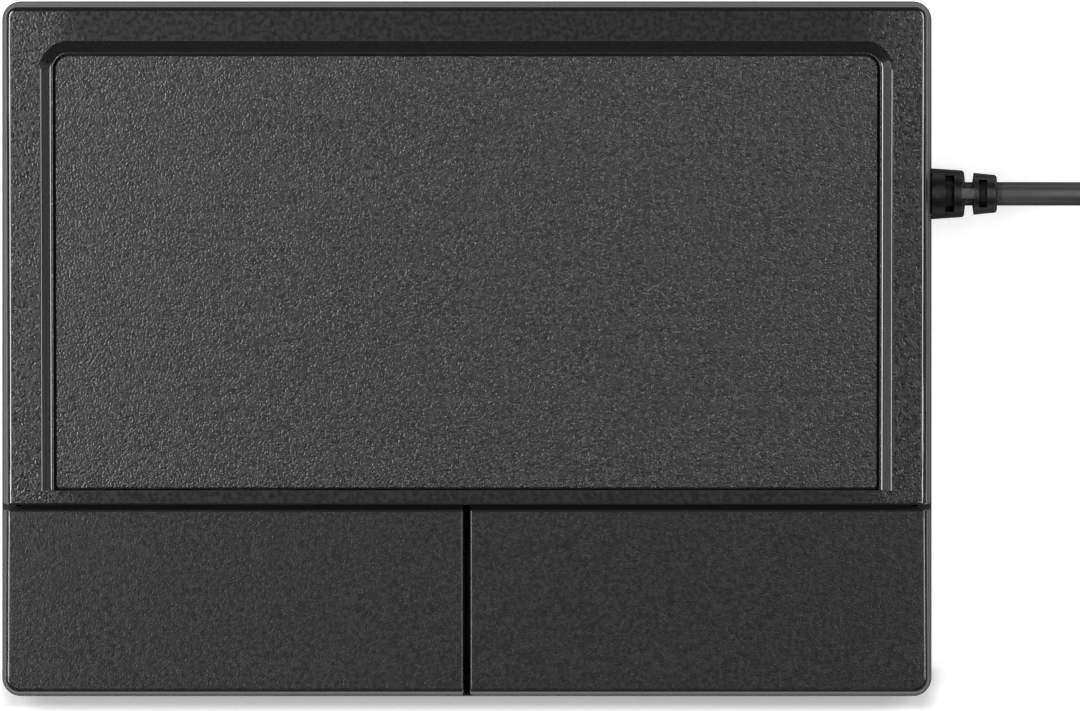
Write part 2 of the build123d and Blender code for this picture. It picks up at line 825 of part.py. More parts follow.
def switch_cover(side):
    """The sprung steel plate over a switch, with two tabs bent down its sides."""
    x = side * switch_x
    top = board_top + switch_body_height
    plate = span(around(x, switch_side), around(switch_y, switch_side), (top, top + switch_plate_thickness))
    for tab in (-1, 1):
        near = x + tab * switch_side / 2
        x_limits = sorted((near, near + tab * switch_plate_thickness))
        z = (top - switch_tab_height, top + switch_plate_thickness)
        plate += span(x_limits, around(switch_y, switch_tab_width), z)
    return plate - column(x, switch_y, top - overrun, top + overrun, plunger_radius + plunger_hole_clearance)


def switch_plunger(side):
    x = side * switch_x
    plate_under = board_top + switch_body_height
    flange_top = plate_under - fit
    flange = column(x, switch_y, flange_top - plunger_flange_height, flange_top, plunger_flange_radius)
    stem = column(x, switch_y, flange_top, plunger_top, plunger_radius)
    stem = fillet(stem.edges().sort_by(Axis.Z)[-1], part_edge_radius)
    return flange + stem


def button(side):
    """One button: a drafted skirt with ribs, two hinge arms with pivots, two hooks and a press boss."""
    reach = half_width + overrun
    middle = side * slot_width / 2
    own_side = sorted((middle, side * reach))
    low = parting_height + cap_lift
    half = span(own_side, (-half_depth - overrun, cap_back), (low, height_back + overrun))
    block = button_block(0, low, 0) & half
    top = block.faces().sort_by(Axis.Z)[-1]
    rim = [e for e in top.edges() if abs((e @ 0.5).Y - cap_back) > fit and abs((e @ 0.5).X - middle) > fit]
    cap = fillet(rim, cap_edge_radius)
    cap = fillet(seam_chain(cap, middle), cap_inner_edge_radius)

    inner_x = sorted((middle + side * cap_wall, side * reach))
    inner_y = (-half_depth - overrun, cap_back - cap_wall)
    inner = span(inner_x, inner_y, (low - overrun, height_back + overrun))
    cap -= button_block(cap_wall, low - overrun, cap_wall) & inner
    rear_bottom = seam_ledge_top - seam_ledge_thickness
    skirt = half_width - cap_wall - (rear_bottom - parting_height) * math.tan(math.radians(button_draft))
    rear_x = sorted((middle + side * cap_wall, side * skirt))
    cap -= span(rear_x, (cap_back - cap_wall - contact, cap_back + overrun), (low - overrun, rear_bottom))

    cover_inside = half_width - wall - cover_inset(bar_front, seam_ledge_top)
    ledge_x = sorted((middle, side * (cover_inside - seam_ledge_clearance)))
    ledge_y = (cap_back - cap_wall, bar_front + seam_ledge_reach)
    cap += span(ledge_x, ledge_y, (rear_bottom, seam_ledge_top))

    lip_y = (-half_depth + cap_wall - contact, -half_depth + front_wall + front_lip_clearance)
    lip_z = (low - overrun, parting_height + front_lip_height + cap_lift)
    lip_x = sorted((middle - side * overrun, middle + side * (cap_wall + overrun)))
    cap -= span(lip_x, lip_y, lip_z)

    inner_half = half_width - cap_wall
    rib_bottom = cap_wall + cap_rib_depth
    rib_y = (-half_depth + cap_wall, cap_back - cap_wall / 2)
    for share in cap_rib_shares:
        x = side * (slot_width / 2 + share * (half_width - slot_width / 2))
        rib = span(around(x, cap_rib_thickness), rib_y, (low, height_back))
        cap += below_deck(rib, cap_wall / 2) - below_deck(rib, rib_bottom)
    x_limits = sorted((middle + side * cap_wall / 2, side * (inner_half - cap_wall)))
    for y in (switch_y - switch_side, switch_y + switch_side):
        rib = span(x_limits, around(y, cap_rib_thickness), (low, height_back))
        cap += below_deck(rib, cap_wall / 2) - below_deck(rib, rib_bottom)

    x = side * switch_x
    boss = column(x, switch_y, plunger_top + press_gap, height_back, press_boss_radius)
    cap += below_deck(boss, cap_wall / 2)

    for hook_x in hook_places():
        if hook_x * side > 0:
            cap += hook(hook_x)
    for arm_x, pin_side in ((inner_arm_from_middle, -1), (outer_arm_x, 1)):
        cap += hinge_arm(side * arm_x, side * pin_side)
    return cap


def seam_chain(cap, middle):
    """The edges of a button along the seam and along the slot, over the top and down the walls."""
    found = []
    for edge in cap.edges():
        points = [edge @ t for t in (0, 0.5, 1)]
        on_back = all(abs(p.Y - cap_back) < contact for p in points)
        on_slot = all(abs(p.X - middle) < contact for p in points)
        high = all(p.Z > parting_height + cap_lift + contact for p in points[1:2])
        if on_back != on_slot and high:
            found.append(edge)
    return found


def hook(x):
    """A hook behind the front skirt, whose barb catches under a ledge of the case."""
    front = -half_depth + front_wall + hook_behind_lip
    ledge_under = parting_height - ledge_below_parting - ledge_height
    barb_top = ledge_under - hook_play
    barb_low = barb_top - hook_barb_height
    x_limits = around(x, hook_width)
    leg = span(x_limits, (front, front + hook_thickness), (barb_low, height_back))
    barb = span(x_limits, (front - hook_barb, front), (barb_low, barb_top))
    return below_deck(leg, cap_wall / 2) + barb


def hinge_arm(x, pin_side):
    """An arm from under a button to its pivot, under the bar of the cover."""
    root_back = cap_back - cap_wall / 2
    root = (root_back - arm_root_depth, root_back)
    low = hinge_z - arm_eye_radius
    x_limits = around(x, arm_thickness)
    arm = below_deck(span(x_limits, root, (low, height_back)), cap_wall / 2)
    arm += span(x_limits, (root[0], hinge_y), (low, hinge_z + arm_eye_radius))
    arm += across(x_limits, hinge_y, hinge_z, arm_eye_radius)
    near = x + pin_side * arm_thickness / 2
    far = near + pin_side * pivot_length
    arm += across(sorted((near - pin_side * arm_thickness / 2, far)), hinge_y, hinge_z, pivot_radius)
    return arm


def case_screws():
    seat = foot_stand + screw_well_depth
    return Compound(children=[screw(x, y, seat, screw_length, True) for x, y, _ in case_screw_places()])


def board_screws():
    places = board_screw_places()
    return Compound(children=[screw(x, y, board_top, board_screw_length, False) for x, y in places])


def foot(x, y):
    pad = column(x, y, 0, foot_stand + foot_recess, foot_radius)
    return fillet(pad.edges().sort_by(Axis.Z)[0], foot_edge_radius)


def turned(profile):
    """A body turned about the cable's axis where it leaves the case, from points of (x, radius)."""
    line = Polyline(*[(x, radius) for x, radius in profile], close=True)
    body = revolve(make_face(line), axis=Axis.X)
    return Pos(0, cable_y, parting_height) * body


def strain_relief():
    """The moulded relief: flanges inside the wall, and two blocks of webs and slots that let it flex."""
    outside, flange_far, flange_near, rib_far, rib_near, tail_far, tail_near = relief_stations()
    bore = cord_radius + contact
    inner = turned(
        (
            (tail_near, bore),
            (tail_near, relief_flange_radius),
            (tail_far, relief_flange_radius),
            (tail_far, relief_neck_radius),
            (flange_near, relief_neck_radius),
            (flange_near, relief_flange_radius),
            (flange_far, relief_flange_radius),
            (flange_far, relief_neck_radius),
            (outside + contact, relief_neck_radius),
            (outside + contact, bore),
        )
    )
    relief = inner
    near = outside
    for i, length in enumerate(block_length):
        radius_near = block_radius_near[i]
        radius_far = block_radius_far[i]
        far = near + length
        rim_near = near + gap_flare if i > 0 else near
        rim_far = far - gap_flare if i == 0 else far
        block = turned(((near, bore), (rim_near, radius_near), (rim_far, radius_far), (far, bore)))
        rims = block.edges().filter_by(GeomType.CIRCLE).sort_by(Axis.X)
        far_rim = [e for e in rims if abs(e.radius - radius_far) < contact]
        block = fillet(far_rim, block_round)
        window = around(near + window_place_shares[i] * length, window_length[i])
        reach = (parting_height - radius_near - overrun, parting_height + radius_near + overrun)
        pocket = span(window, around(cable_y, 2 * window_half_width[i]), reach)
        sleeve = window_half_width[i] + window_sleeve_lap
        block -= pocket - across((near, far), cable_y, parting_height, sleeve)
        relief += block
        near = far + block_gap
    gap_start = outside + block_length[0]
    gap = (gap_start - block_round, gap_start + block_gap + gap_flare)
    web_radii = (block_radius_far[0], block_radius_near[1])
    bridge = turned(((gap[0], bore), (gap[0], web_radii[0]), (gap[1], web_radii[1]), (gap[1], bore)))
    reach = (parting_height - relief_flange_radius, parting_height + relief_flange_radius)
    relief += bridge & span(gap, around(cable_y, bridge_width), reach)
    return relief


def relief_end():
    return half_width + contact + sum(block_length) + block_gap


def tube(points, radius):
    """A round cable along straight runs joined by arcs as large as they allow, with its bend radii."""
    points = [Vector(*p) for p in points]
    radii = []
    for before, here, after in zip(points, points[1:], points[2:]):
        turn = math.radians((here - before).get_angle(after - here))
        shorter = min((here - before).length, (after - here).length)
        radii.append(bend_share * shorter / math.tan(turn / 2))
    path = FilletPolyline(*points, radius=radii) if radii else Polyline(*points)
    section = Plane(origin=points[0], z_dir=points[1] - points[0]) * Circle(radius)
    return sweep(section, path=path), path, radii


def say_tube(name, body, path, radii, radius):
    ratio = body.volume / (math.pi * radius**2 * path.length)
    bends = ", ".join(f"{r:.1f}" for r in radii)
    print(f"{name}: {path.length:.1f} long, bend radii {bends}, volume over section x length {ratio:.4f}")


def jacket_end():
    return (jacket_x, bar_back + jacket_end_behind_bar, parting_height - jacket_low)


def held_cable():
    """The jacketed cable inside the case, from the mouth of the strain relief to where its wires fan out."""
    end = jacket_end()
    points = [
        (relief_end(), cable_y, parting_height),
        (jacket_turn_start, cable_y, parting_height),
        (jacket_x, cable_y - jacket_turn_drop, end[2]),
        end,
    ]
    body, path, radii = tube(points, cord_radius)
    say_tube("held_cable", body, path, radii, cord_radius)
    return body


def wire(index):
    """One of the four wires, from the end of the jacket to its place in the connector."""
    x, y, z = jacket_end()
    column_side = -1 if index < 2 else 1
    row_side = -1 if index in (0, 3) else 1
    start = (x + column_side * wire_spread, y, z + row_side * wire_spread)
    pin_x = header_x + (index - 1.5) * pin_pitch
    pin_z = board_top + header_height / 2
    way = y - connector_back()
    points = [
        start,
        (start[0], y - way / 4, start[2]),
        (pin_x, connector_back() + way / 4, pin_z),
        (pin_x, connector_back(), pin_z),
    ]
    return tube(points, wire_radius)[0]


def cord_stretch():
    """The free cable from the strain relief down to the coil, straight as seen from above."""
    start = (relief_end(), cable_y, parting_height)
    end = (coil_x - 2 * cord_radius, cable_y, cord_radius)
    bends = [(x, cable_y, z) for x, z in zip(stretch_bend_x, stretch_bend_height)]
    body, path, radii = tube([start, *bends, end], cord_radius)
    say_tube("cord_stretch", body, path, radii, cord_radius)
    return body, path.length


def tip_wave(turns):
    """How far the coil's spiral has gone in, in turns: rises and falls evenly, rounded at each reversal."""
    layer = turns / coil_turns_per_layer
    nearest = round(layer)
    from_tip = abs(turns - nearest * coil_turns_per_layer)
    if from_tip < climb_turns and 0 < nearest < coil_layers:
        from_tip = from_tip**2 / (2 * climb_turns) + climb_turns / 2
    return from_tip if nearest % 2 == 0 else coil_turns_per_layer - from_tip


def climb(turns):
    """How many layers the coil has climbed, each in the half turn about a reversal."""
    climbed = 0.0
    for k in range(1, coil_layers):
        along = (turns - k * coil_turns_per_layer + climb_turns) / (2 * climb_turns)
        along = min(max(along, 0.0), 1.0)
        climbed += 0.5 - 0.5 * math.cos(math.pi * along)
    return climbed


def coil_point(turns):
    """A point of the coil's centreline. It winds clockwise, seen from above."""
    angle = math.radians(coil_start_angle - 360 * turns)
    radius = coil_outer_radius - coil_pitch * tip_wave(turns)
    x = coil_x + radius * math.cos(angle)
    y = coil_y + radius * math.sin(angle)
    return Vector(x, y, cord_radius + coil_pitch * climb(turns))


def coil_direction(turns):
    step = 1e-4
    low = max(turns - step, 0)
    high = min(turns + step, coil_turns)
    return (coil_point(high) - coil_point(low)).normalized()


def biarc(start, start_way, end, end_way):
    """Two arcs that run from one point to another and leave and meet them in the given directions."""
    chord = end - start
    ways = start_way + end_way
    spread = 2 * (1 - start_way.dot(end_way))
    along = chord.dot(ways)
    reach = (math.sqrt(along**2 + spread * chord.dot(chord)) - along) / spread
    knee_start = start + start_way * reach
    knee_end = end - end_way * reach
    middle = (knee_start + knee_end) / 2
    turn = (knee_end - knee_start).normalized()
    return [Edge.make_tangent_arc(start, start_way, middle), Edge.make_tangent_arc(middle, turn, end)]


def cord_coil():
    """The rest of the cable, wound in and out in layers, with a short straight at each end."""
    stations = [i / arcs_per_turn for i in range(int(coil_turns * arcs_per_turn) + 1)]
    if coil_turns - stations[-1] < least_arc_turns:
        stations.pop()
    stations.append(coil_turns)
    points = [coil_point(t) for t in stations]
    ways = [coil_direction(t) for t in stations]
    ways[0] = Vector(1, 0, 0)
    last = math.radians(coil_start_angle - 360 * coil_turns)
    ways[-1] = Vector(math.sin(last), -math.cos(last), 0)
    lead = 2 * cord_radius
    edges = [Edge.make_line(points[0] - ways[0] * lead, points[0])]
    for i in range(len(points) - 1):
        edges += biarc(points[i], ways[i], points[i + 1], ways[i + 1])
    edges.append(Edge.make_line(points[-1], points[-1] + ways[-1] * lead))
    path = Wire(edges)
    section = Plane(origin=points[0] - ways[0] * lead, z_dir=ways[0]) * Circle(cord_radius)
    body = sweep(section, path=path)
    say_tube("cord_coil", body, path, [], cord_radius)
    print(f"cord_coil: least gap to itself {coil_gap():.2f}, {coil_turns:.2f} turns in {coil_layers} layers")
    return body, path.length, points[-1] + ways[-1] * lead, ways[-1]


def coil_gap():
    """The least distance between the surfaces of two turns of the coil, measured on points."""
    per_turn = 48
    points = [coil_point(i / per_turn) for i in range(int(coil_turns * per_turn) + 1)]
    least = coil_outer_radius
    for i, point in enumerate(points):
        for other in points[i + per_turn // 2 :]:
            least = min(least, (other - point).length)
    return least - 2 * cord_radius


def cord_tail(start, way):
    """The end of the cable, down the outside of the coil to the plug."""
    first = start + way * tail_route[0][0]
    others = [(coil_x + x, coil_y + y, z) for x, y, z in (*tail_route[1:], tail_end)]
    body, path, radii = tube([tuple(start), tuple(first), *others], cord_radius)
    say_tube("cord_tail", body, path, radii, cord_radius)
    return body, path.length


def plug_place():
    """The plug lies on the desk beside the coil, with its mouth towards -Y."""
    return Pos(coil_x + tail_end[0], coil_y + tail_end[1], plug_stand) * Rot(0, 0, -90)


def plug_grip():
    """The moulded grip with its tapered, grooved boot."""
    grip = Pos(boot_length + grip_length / 2, 0, 0) * Box(grip_length, grip_width, 2 * plug_stand)
    grip = fillet(grip.edges(), grip_edge_radius)
    near = Plane(origin=(0, 0, 0), x_dir=(0, 1, 0), z_dir=(1, 0, 0))
    far = near.offset(boot_length + grip_edge_radius)
    boot = loft([near * Circle(boot_radius_near), far * Circle(boot_radius_far)], ruled=True)
    grip += boot
    for i in range(boot_groove_count):
        x = (i + 1) * boot_length / (boot_groove_count + 1)
        radius = boot_radius_near + (boot_radius_far - boot_radius_near) * x / boot_length
        cut = Pos(x, 0, 0) * Rot(0, 90, 0)
        core = Cylinder(radius - boot_groove_depth, boot_groove_width)
        grip -= cut * (Cylinder(2 * radius, boot_groove_width) - core)
    return plug_place() * grip


def mouth_start():
    return boot_length + grip_length


def plug_shell():
    """The plug's folded steel mouth with its two square latch holes on each broad side."""
    x = (mouth_start(), mouth_start() + shell_length)
    outer = span(x, around(0, shell_width), around(0, shell_height))
    outer = fillet(outer.edges().filter_by(Axis.X), shell_corner_radius)
    inner_width = shell_width - 2 * shell_wall
    inner_height = shell_height - 2 * shell_wall
    inner = span((x[0] - overrun, x[1] + overrun), around(0, inner_width), around(0, inner_height))
    inner = fillet(inner.edges().filter_by(Axis.X), shell_corner_radius - shell_wall)
    shell = outer - inner
    hole_x = around(x[1] - shell_hole_from_mouth, shell_hole_side)
    for side in (-1, 1):
        y = around(side * shell_hole_spread, shell_hole_side)
        shell -= span(hole_x, y, (-shell_height, shell_height))
    return plug_place() * shell


def tongue_top():
    return -shell_height / 2 + shell_wall + fit + tongue_thickness


def plug_tongue():
    x = (mouth_start(), mouth_start() + shell_length - tongue_setback)
    width_inside = shell_width - 2 * shell_wall - 2 * fit
    tongue = span(x, around(0, width_inside), (tongue_top() - tongue_thickness, tongue_top()))
    return plug_place() * fillet(tongue.edges().filter_by(Axis.X), shell_corner_radius - shell_wall)


def plug_contacts():
    far = mouth_start() + shell_length - 2 * tongue_setback
    z = (tongue_top(), tongue_top() + plug_contact_thickness)
    strips = []
    for share in plug_contact_spread_shares:
        y = around(share * plug_contact_width, plug_contact_width)
        strips.append(plug_place() * span((far - plug_contact_length, far), y, z))
    return Compound(children=strips)


stretch, stretch_length = cord_stretch()
coil, coil_length, coil_end, coil_end_way = cord_coil()
tail, tail_length = cord_tail(coil_end, coil_end_way)
print(f"free cable: {stretch_length + coil_length + tail_length:.0f} mm in all")

nodes = {
    "bottom_case": bottom_case(),
    "top_cover": top_cover(),
    "touch_surface": touch_surface(),
    "overlay_adhesive": overlay_adhesive(),
    "sensor_board": sensor_board(),
    "backing_plate": backing_plate(),
    "touch_controller": touch_controller(),
    "sensor_capacitors": sensor_capacitors(),
    "sensor_ribbon_socket": sensor_ribbon_socket(),
    "ribbon_cable": ribbon_cable(),
    "board_ribbon_socket": board_ribbon_socket(),
    "main_board": main_board(),
    "usb_controller": usb_controller(),
    "crystal": crystal(),
    "board_capacitors": board_capacitors(),
    "cable_header": cable_header(),
    "cable_connector": cable_connector(),
    "case_screws": case_screws(),
    "board_screws": board_screws(),
    "strain_relief": strain_relief(),
    "held_cable": held_cable(),
    "cord_stretch": stretch,
    "cord_coil": coil,
    "cord_tail": tail,
    "plug_grip": plug_grip(),
    "plug_shell": plug_shell(),
    "plug_tongue": plug_tongue(),
    "plug_contacts": plug_contacts(),
}
for side_name, side in (("left", -1), ("right", 1)):
    nodes[f"{side_name}_button"] = button(side)
    nodes[f"{side_name}_switch_body"] = switch_body(side)
    nodes[f"{side_name}_switch_cover"] = switch_cover(side)
    nodes[f"{side_name}_switch_plunger"] = switch_plunger(side)
for index, colour in enumerate(("black", "green", "white", "red")):
    nodes[f"{colour}_wire"] = wire(index)
for name, (x, y) in foot_places().items():
    nodes[name] = foot(x, y)

for name, shape in nodes.items():
    export_step(shape, f"parts/{name}.step")
print(f"{len(nodes)} nodes")
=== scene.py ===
import math

import bpy
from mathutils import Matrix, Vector


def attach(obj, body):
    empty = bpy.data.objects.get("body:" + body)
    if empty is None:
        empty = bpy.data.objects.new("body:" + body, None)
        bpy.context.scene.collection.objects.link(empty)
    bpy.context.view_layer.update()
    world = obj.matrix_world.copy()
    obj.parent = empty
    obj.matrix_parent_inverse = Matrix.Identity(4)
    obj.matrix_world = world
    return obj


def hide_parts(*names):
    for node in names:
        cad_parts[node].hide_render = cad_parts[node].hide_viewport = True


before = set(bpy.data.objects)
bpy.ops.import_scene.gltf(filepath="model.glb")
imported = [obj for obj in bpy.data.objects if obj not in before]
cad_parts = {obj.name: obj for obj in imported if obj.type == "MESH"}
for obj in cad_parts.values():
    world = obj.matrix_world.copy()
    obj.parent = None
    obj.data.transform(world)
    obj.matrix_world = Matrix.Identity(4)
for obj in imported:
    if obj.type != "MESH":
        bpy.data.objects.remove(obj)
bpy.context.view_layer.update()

scene = bpy.context.scene
scene.view_settings.view_transform = "Standard"

# The photographer's stand: the trackpad lies square under a long lens, about 1.6 m above the desk.
# The frame's middle is a little right of the trackpad's middle, to show where the cable leaves.
mm = 0.001
camera_over = (9.44 * mm, -0.88 * mm)
camera_height = 1607 * mm
camera_lens = 413.0
camera_sensor = 36.0
camera_nearest = 0.1
camera_furthest = 20.0
camera_data = bpy.data.cameras.new("camera")
camera_data.lens = camera_lens
camera_data.sensor_width = camera_sensor
camera_data.clip_start = camera_nearest
camera_data.clip_end = camera_furthest
camera = bpy.data.objects.new("camera", camera_data)
camera.location = (*camera_over, camera_height)
scene.collection.objects.link(camera)
scene.camera = camera

# The desk: a plain pale sheet that runs on behind the trackpad. It is lit like everything else, and what
# the camera and mirrors see of it is lifted to white. Along the front edge and under the trackpad the lift
# is less: a painted shadow there, which deepens the soft shadow that the lamps cast.
desk_size = 6.0
desk_color = (0.80, 0.80, 0.80, 1)
desk_lift = 0.68
painted_shadow_lift = 0.12
painted_desk_shadows = (
    # across and along the desk: the middle, and how far from it the painted shadow is whole and has ended
    ((0, (58.5 * mm, 62.5 * mm)), (-44.0 * mm, (1.8 * mm, 3.8 * mm))),
    ((0, (56.5 * mm, 59.5 * mm)), (-0.5 * mm, (42.5 * mm, 45.0 * mm))),
)


def new_material(name):
    """An empty material with its node tree and its output."""
    material = bpy.data.materials.new(name)
    material.use_nodes = True
    tree = material.node_tree
    tree.nodes.clear()
    return material, tree, tree.nodes.new("ShaderNodeOutputMaterial")


def feed(tree, kind, values, operation=None):
    """Adds a node and sets its inputs by name or number: an output is linked, anything else is stored."""
    made = tree.nodes.new(kind)
    if operation is not None:
        made.operation = operation
    for name, value in values.items():
        if isinstance(value, bpy.types.NodeSocket):
            tree.links.new(value, made.inputs[name])
        else:
            made.inputs[name].default_value = value
    return made


def maths(tree, operation, first, second=0):
    """The result of one sum with numbers or outputs."""
    return feed(tree, "ShaderNodeMath", {0: first, 1: second}, operation).outputs[0]


def mixed(tree, share, at_none, at_full):
    """A number that goes from one value or output to another with a share."""
    change = maths(tree, "MULTIPLY", share, maths(tree, "SUBTRACT", at_full, at_none))
    return maths(tree, "ADD", at_none, change)


def between(tree, value, low, high, at_low, at_high):
    """A number that runs smoothly from one value to another while its input goes from low to high."""
    values = {"Value": value, "From Min": low, "From Max": high, "To Min": at_low, "To Max": at_high}
    made = feed(tree, "ShaderNodeMapRange", values)
    made.interpolation_type = "SMOOTHSTEP"
    return made.outputs["Result"]


def fading(tree, value, middle, reach):
    """1 near a middle value, fading to 0 between the two distances from it."""
    distance = maths(tree, "ABSOLUTE", maths(tree, "SUBTRACT", value, middle))
    return between(tree, distance, *reach, 1, 0)


def coordinate(tree, kind):
    """Object is the place in the piece, Normal the way its surface faces, Generated a way into the room."""
    return tree.nodes.new("ShaderNodeTexCoord").outputs[kind]


def axes(tree, vector):
    """The outputs X, Y and Z of a vector."""
    return feed(tree, "ShaderNodeSeparateXYZ", {0: vector}).outputs


def seen_light(tree):
    """1 for what the camera, a mirror or glass sees, and 0 for light that falls on something."""
    path = tree.nodes.new("ShaderNodeLightPath").outputs
    mirrored = maths(tree, "MAXIMUM", path["Is Camera Ray"], path["Is Glossy Ray"])
    return maths(tree, "MAXIMUM", mirrored, path["Is Transmission Ray"])


def desk_material():
    """Pale paper that is lifted to white, less so in its painted shadows along the front edge and under the
    trackpad.
    """
    material, tree, output = new_material("desk_paper")
    place = axes(tree, coordinate(tree, "Object"))
    # the lift is less in these zones: a painted shadow on the desk
    in_painted_shadow = 0
    for across, along in painted_desk_shadows:
        painted_shadow = maths(tree, "MULTIPLY", fading(tree, place["X"], *across), fading(tree, place["Y"], *along))
        in_painted_shadow = maths(tree, "MAXIMUM", painted_shadow, in_painted_shadow)
    level = mixed(tree, in_painted_shadow, desk_lift, painted_shadow_lift)
    strength = maths(tree, "MULTIPLY", seen_light(tree), level)
    paper = feed(tree, "ShaderNodeBsdfDiffuse", {"Color": desk_color})
    lift = feed(tree, "ShaderNodeEmission", {"Strength": strength})
    both = feed(tree, "ShaderNodeAddShader", {0: paper.outputs[0], 1: lift.outputs[0]})
    tree.links.new(both.outputs[0], output.inputs["Surface"])
    return material


half_desk = desk_size / 2
desk_corners = [(x * half_desk, y * half_desk, 0) for x, y in ((-1, -1), (1, -1), (1, 1), (-1, 1))]
desk_mesh = bpy.data.meshes.new("desk")
desk_mesh.from_pydata(desk_corners, [], [(0, 1, 2, 3)])
desk_mesh.materials.append(desk_material())
desk = bpy.data.objects.new("desk", desk_mesh)
scene.collection.objects.link(desk)

# The studio: a long soft box on each side, the left one closer and stronger. They lie along the trackpad's
# sides, so its rounded side edges mirror them. The room is almost dark, and only its walls low down are
# paler, where the upright sides of the trackpad and the cable mirror them in views from the side.
room_color = (1, 1, 1, 1)
room_light = 0.065
wall_light = 0.5
wall_heights = (0.2, 0.5)
soft_boxes = {
    # name: (place, length, width, power)
    "left_box": ((-0.30, 0.03, 0.46), 0.44, 0.15, 2.04),
    "right_box": ((0.42, 0.06, 0.65), 0.52, 0.20, 2.30),
}


def soft_box(name, place, box_length, box_width, power):
    """A rectangular lamp that faces the trackpad, its length along the desk."""
    light = bpy.data.lights.new(name, "AREA")
    light.shape = "RECTANGLE"
    light.size = box_length
    light.size_y = box_width
    light.energy = power
    lamp = bpy.data.objects.new(name, light)
    lamp.location = place
    lamp.rotation_euler = (-Vector(place)).to_track_quat("-Z", "Y").to_euler()
    scene.collection.objects.link(lamp)


for box_name, box_values in soft_boxes.items():
    soft_box(box_name, *box_values)

world = bpy.data.worlds.new("room")
world.use_nodes = True
room = world.node_tree
way_height = axes(room, coordinate(room, "Generated"))["Z"]
background = room.nodes["Background"].inputs
room.links.new(between(room, way_height, *wall_heights, wall_light, room_light), background["Strength"])
background["Color"].default_value = room_color
scene.world = world

# The cable: a satin extruded jacket, 3.05 mm across. It leaves the strain relief straight, comes down to the
# desk and goes into a neat round coil of four layers. The plug lies beside the coil.
cord_radius = 1.525 * mm
cord_rounding = 5
cord_steps = 6
cable_y = 20.0 * mm
cable_z = 7.0 * mm
relief_end = 68.42 * mm
bend_start = 78.0 * mm
bend_end = 94.5 * mm
coil_x = 107.725 * mm
coil_y = -3.0 * mm
coil_start_angle = 90  # degrees: at the coil's back
coil_pitch = 3.6 * mm
coil_layers = 4
coil_turns_per_layer = 3.2083
coil_outer_radius = 23.0 * mm
coil_turns = coil_layers * coil_turns_per_layer
climb_turns = 0.25
points_per_turn = 16
stretch_route = (
    (relief_end, cable_y, cable_z),
    (bend_start, cable_y, cable_z),
    (bend_end, cable_y, cord_radius),
    (coil_x - 2 * cord_radius, cable_y, cord_radius),
)
tail_first = 9.0 * mm
# from the coil's middle to the plug, in mm
tail_route = ((-4.0, 29.6, 11.3), (10.0, 31.2, 9.2), (25.5, 24.2, 6.6), (33.6, 12.4, 4.0), (33.6, 1.4, 4.0))


def tip_wave(turns):
    """How many turns the spiral has gone inwards, in and out again layer by layer."""
    nearest = round(turns / coil_turns_per_layer)
    from_tip = abs(turns - nearest * coil_turns_per_layer)
    if from_tip < climb_turns and 0 < nearest < coil_layers:
        from_tip = from_tip**2 / (2 * climb_turns) + climb_turns / 2
    return from_tip if nearest % 2 == 0 else coil_turns_per_layer - from_tip


def climb(turns):
    """How many layers the cable has climbed."""
    climbed = 0.0
    for k in range(1, coil_layers):
        along = min(max((turns - k * coil_turns_per_layer + climb_turns) / (2 * climb_turns), 0.0), 1.0)
        climbed += 0.5 - 0.5 * math.cos(math.pi * along)
    return climbed


def coil_point(turns):
    """Where the cable's middle is after that many turns of the coil."""
    angle = math.radians(coil_start_angle - 360 * turns)
    radius = coil_outer_radius - coil_pitch * tip_wave(turns)
    height = cord_radius + coil_pitch * climb(turns)
    return Vector((coil_x + radius * math.cos(angle), coil_y + radius * math.sin(angle), height))


def cord_points():
    """The cable's whole route: its straight start, the coil's turns and the tail to the plug."""
    points = [Vector(p) for p in stretch_route]
    steps = round(coil_turns * points_per_turn)
    points += [coil_point(coil_turns * i / steps) for i in range(steps + 1)]
    end = coil_point(coil_turns)
    outwards = (end - Vector((coil_x, coil_y, end.z))).normalized()
    way = Vector((outwards.y, -outwards.x, 0))
    start = end + 2 * cord_radius * way
    points += [start, start + tail_first * way]
    points += [Vector((coil_x + x * mm, coil_y + y * mm, z * mm)) for x, y, z in tail_route]
    return points


def cord_curve(name, points, radius):
    """A round cable along one smooth spline, with a route's points as its control points."""
    data = bpy.data.curves.new(name, "CURVE")
    data.dimensions = "3D"
    data.bevel_depth = radius
    data.bevel_resolution = cord_rounding
    data.use_fill_caps = True
    spline = data.splines.new("NURBS")
    spline.points.add(len(points) - 1)
    for point, place in zip(spline.points, points):
        point.co = (*place, 1)
    spline.order_u = 3
    spline.use_endpoint_u = True
    spline.resolution_u = cord_steps
    return data


noise_range = (0.3, 0.7)
skin_detail = 2.0
cloud_scale = 0.15
cloud_gloss = 0.1
side_heights = (0.45, 0.88)


def grain_place(tree, size):
    """The place in the piece, counted in grains of that size."""
    values = {0: coordinate(tree, "Object"), "Scale": 1 / size}
    return feed(tree, "ShaderNodeVectorMath", values, "SCALE").outputs[0]


def noise(tree, place, scale, detail):
    """Noise between 0 and 1, mostly inside noise_range."""
    values = {"Vector": place, "Scale": scale, "Detail": detail}
    return feed(tree, "ShaderNodeTexNoise", values).outputs["Fac"]


def tinted(tree, color, share):
    """A colour times a number that varies over the surface."""
    return feed(tree, "ShaderNodeVectorMath", {0: color, "Scale": share}, "SCALE").outputs[0]


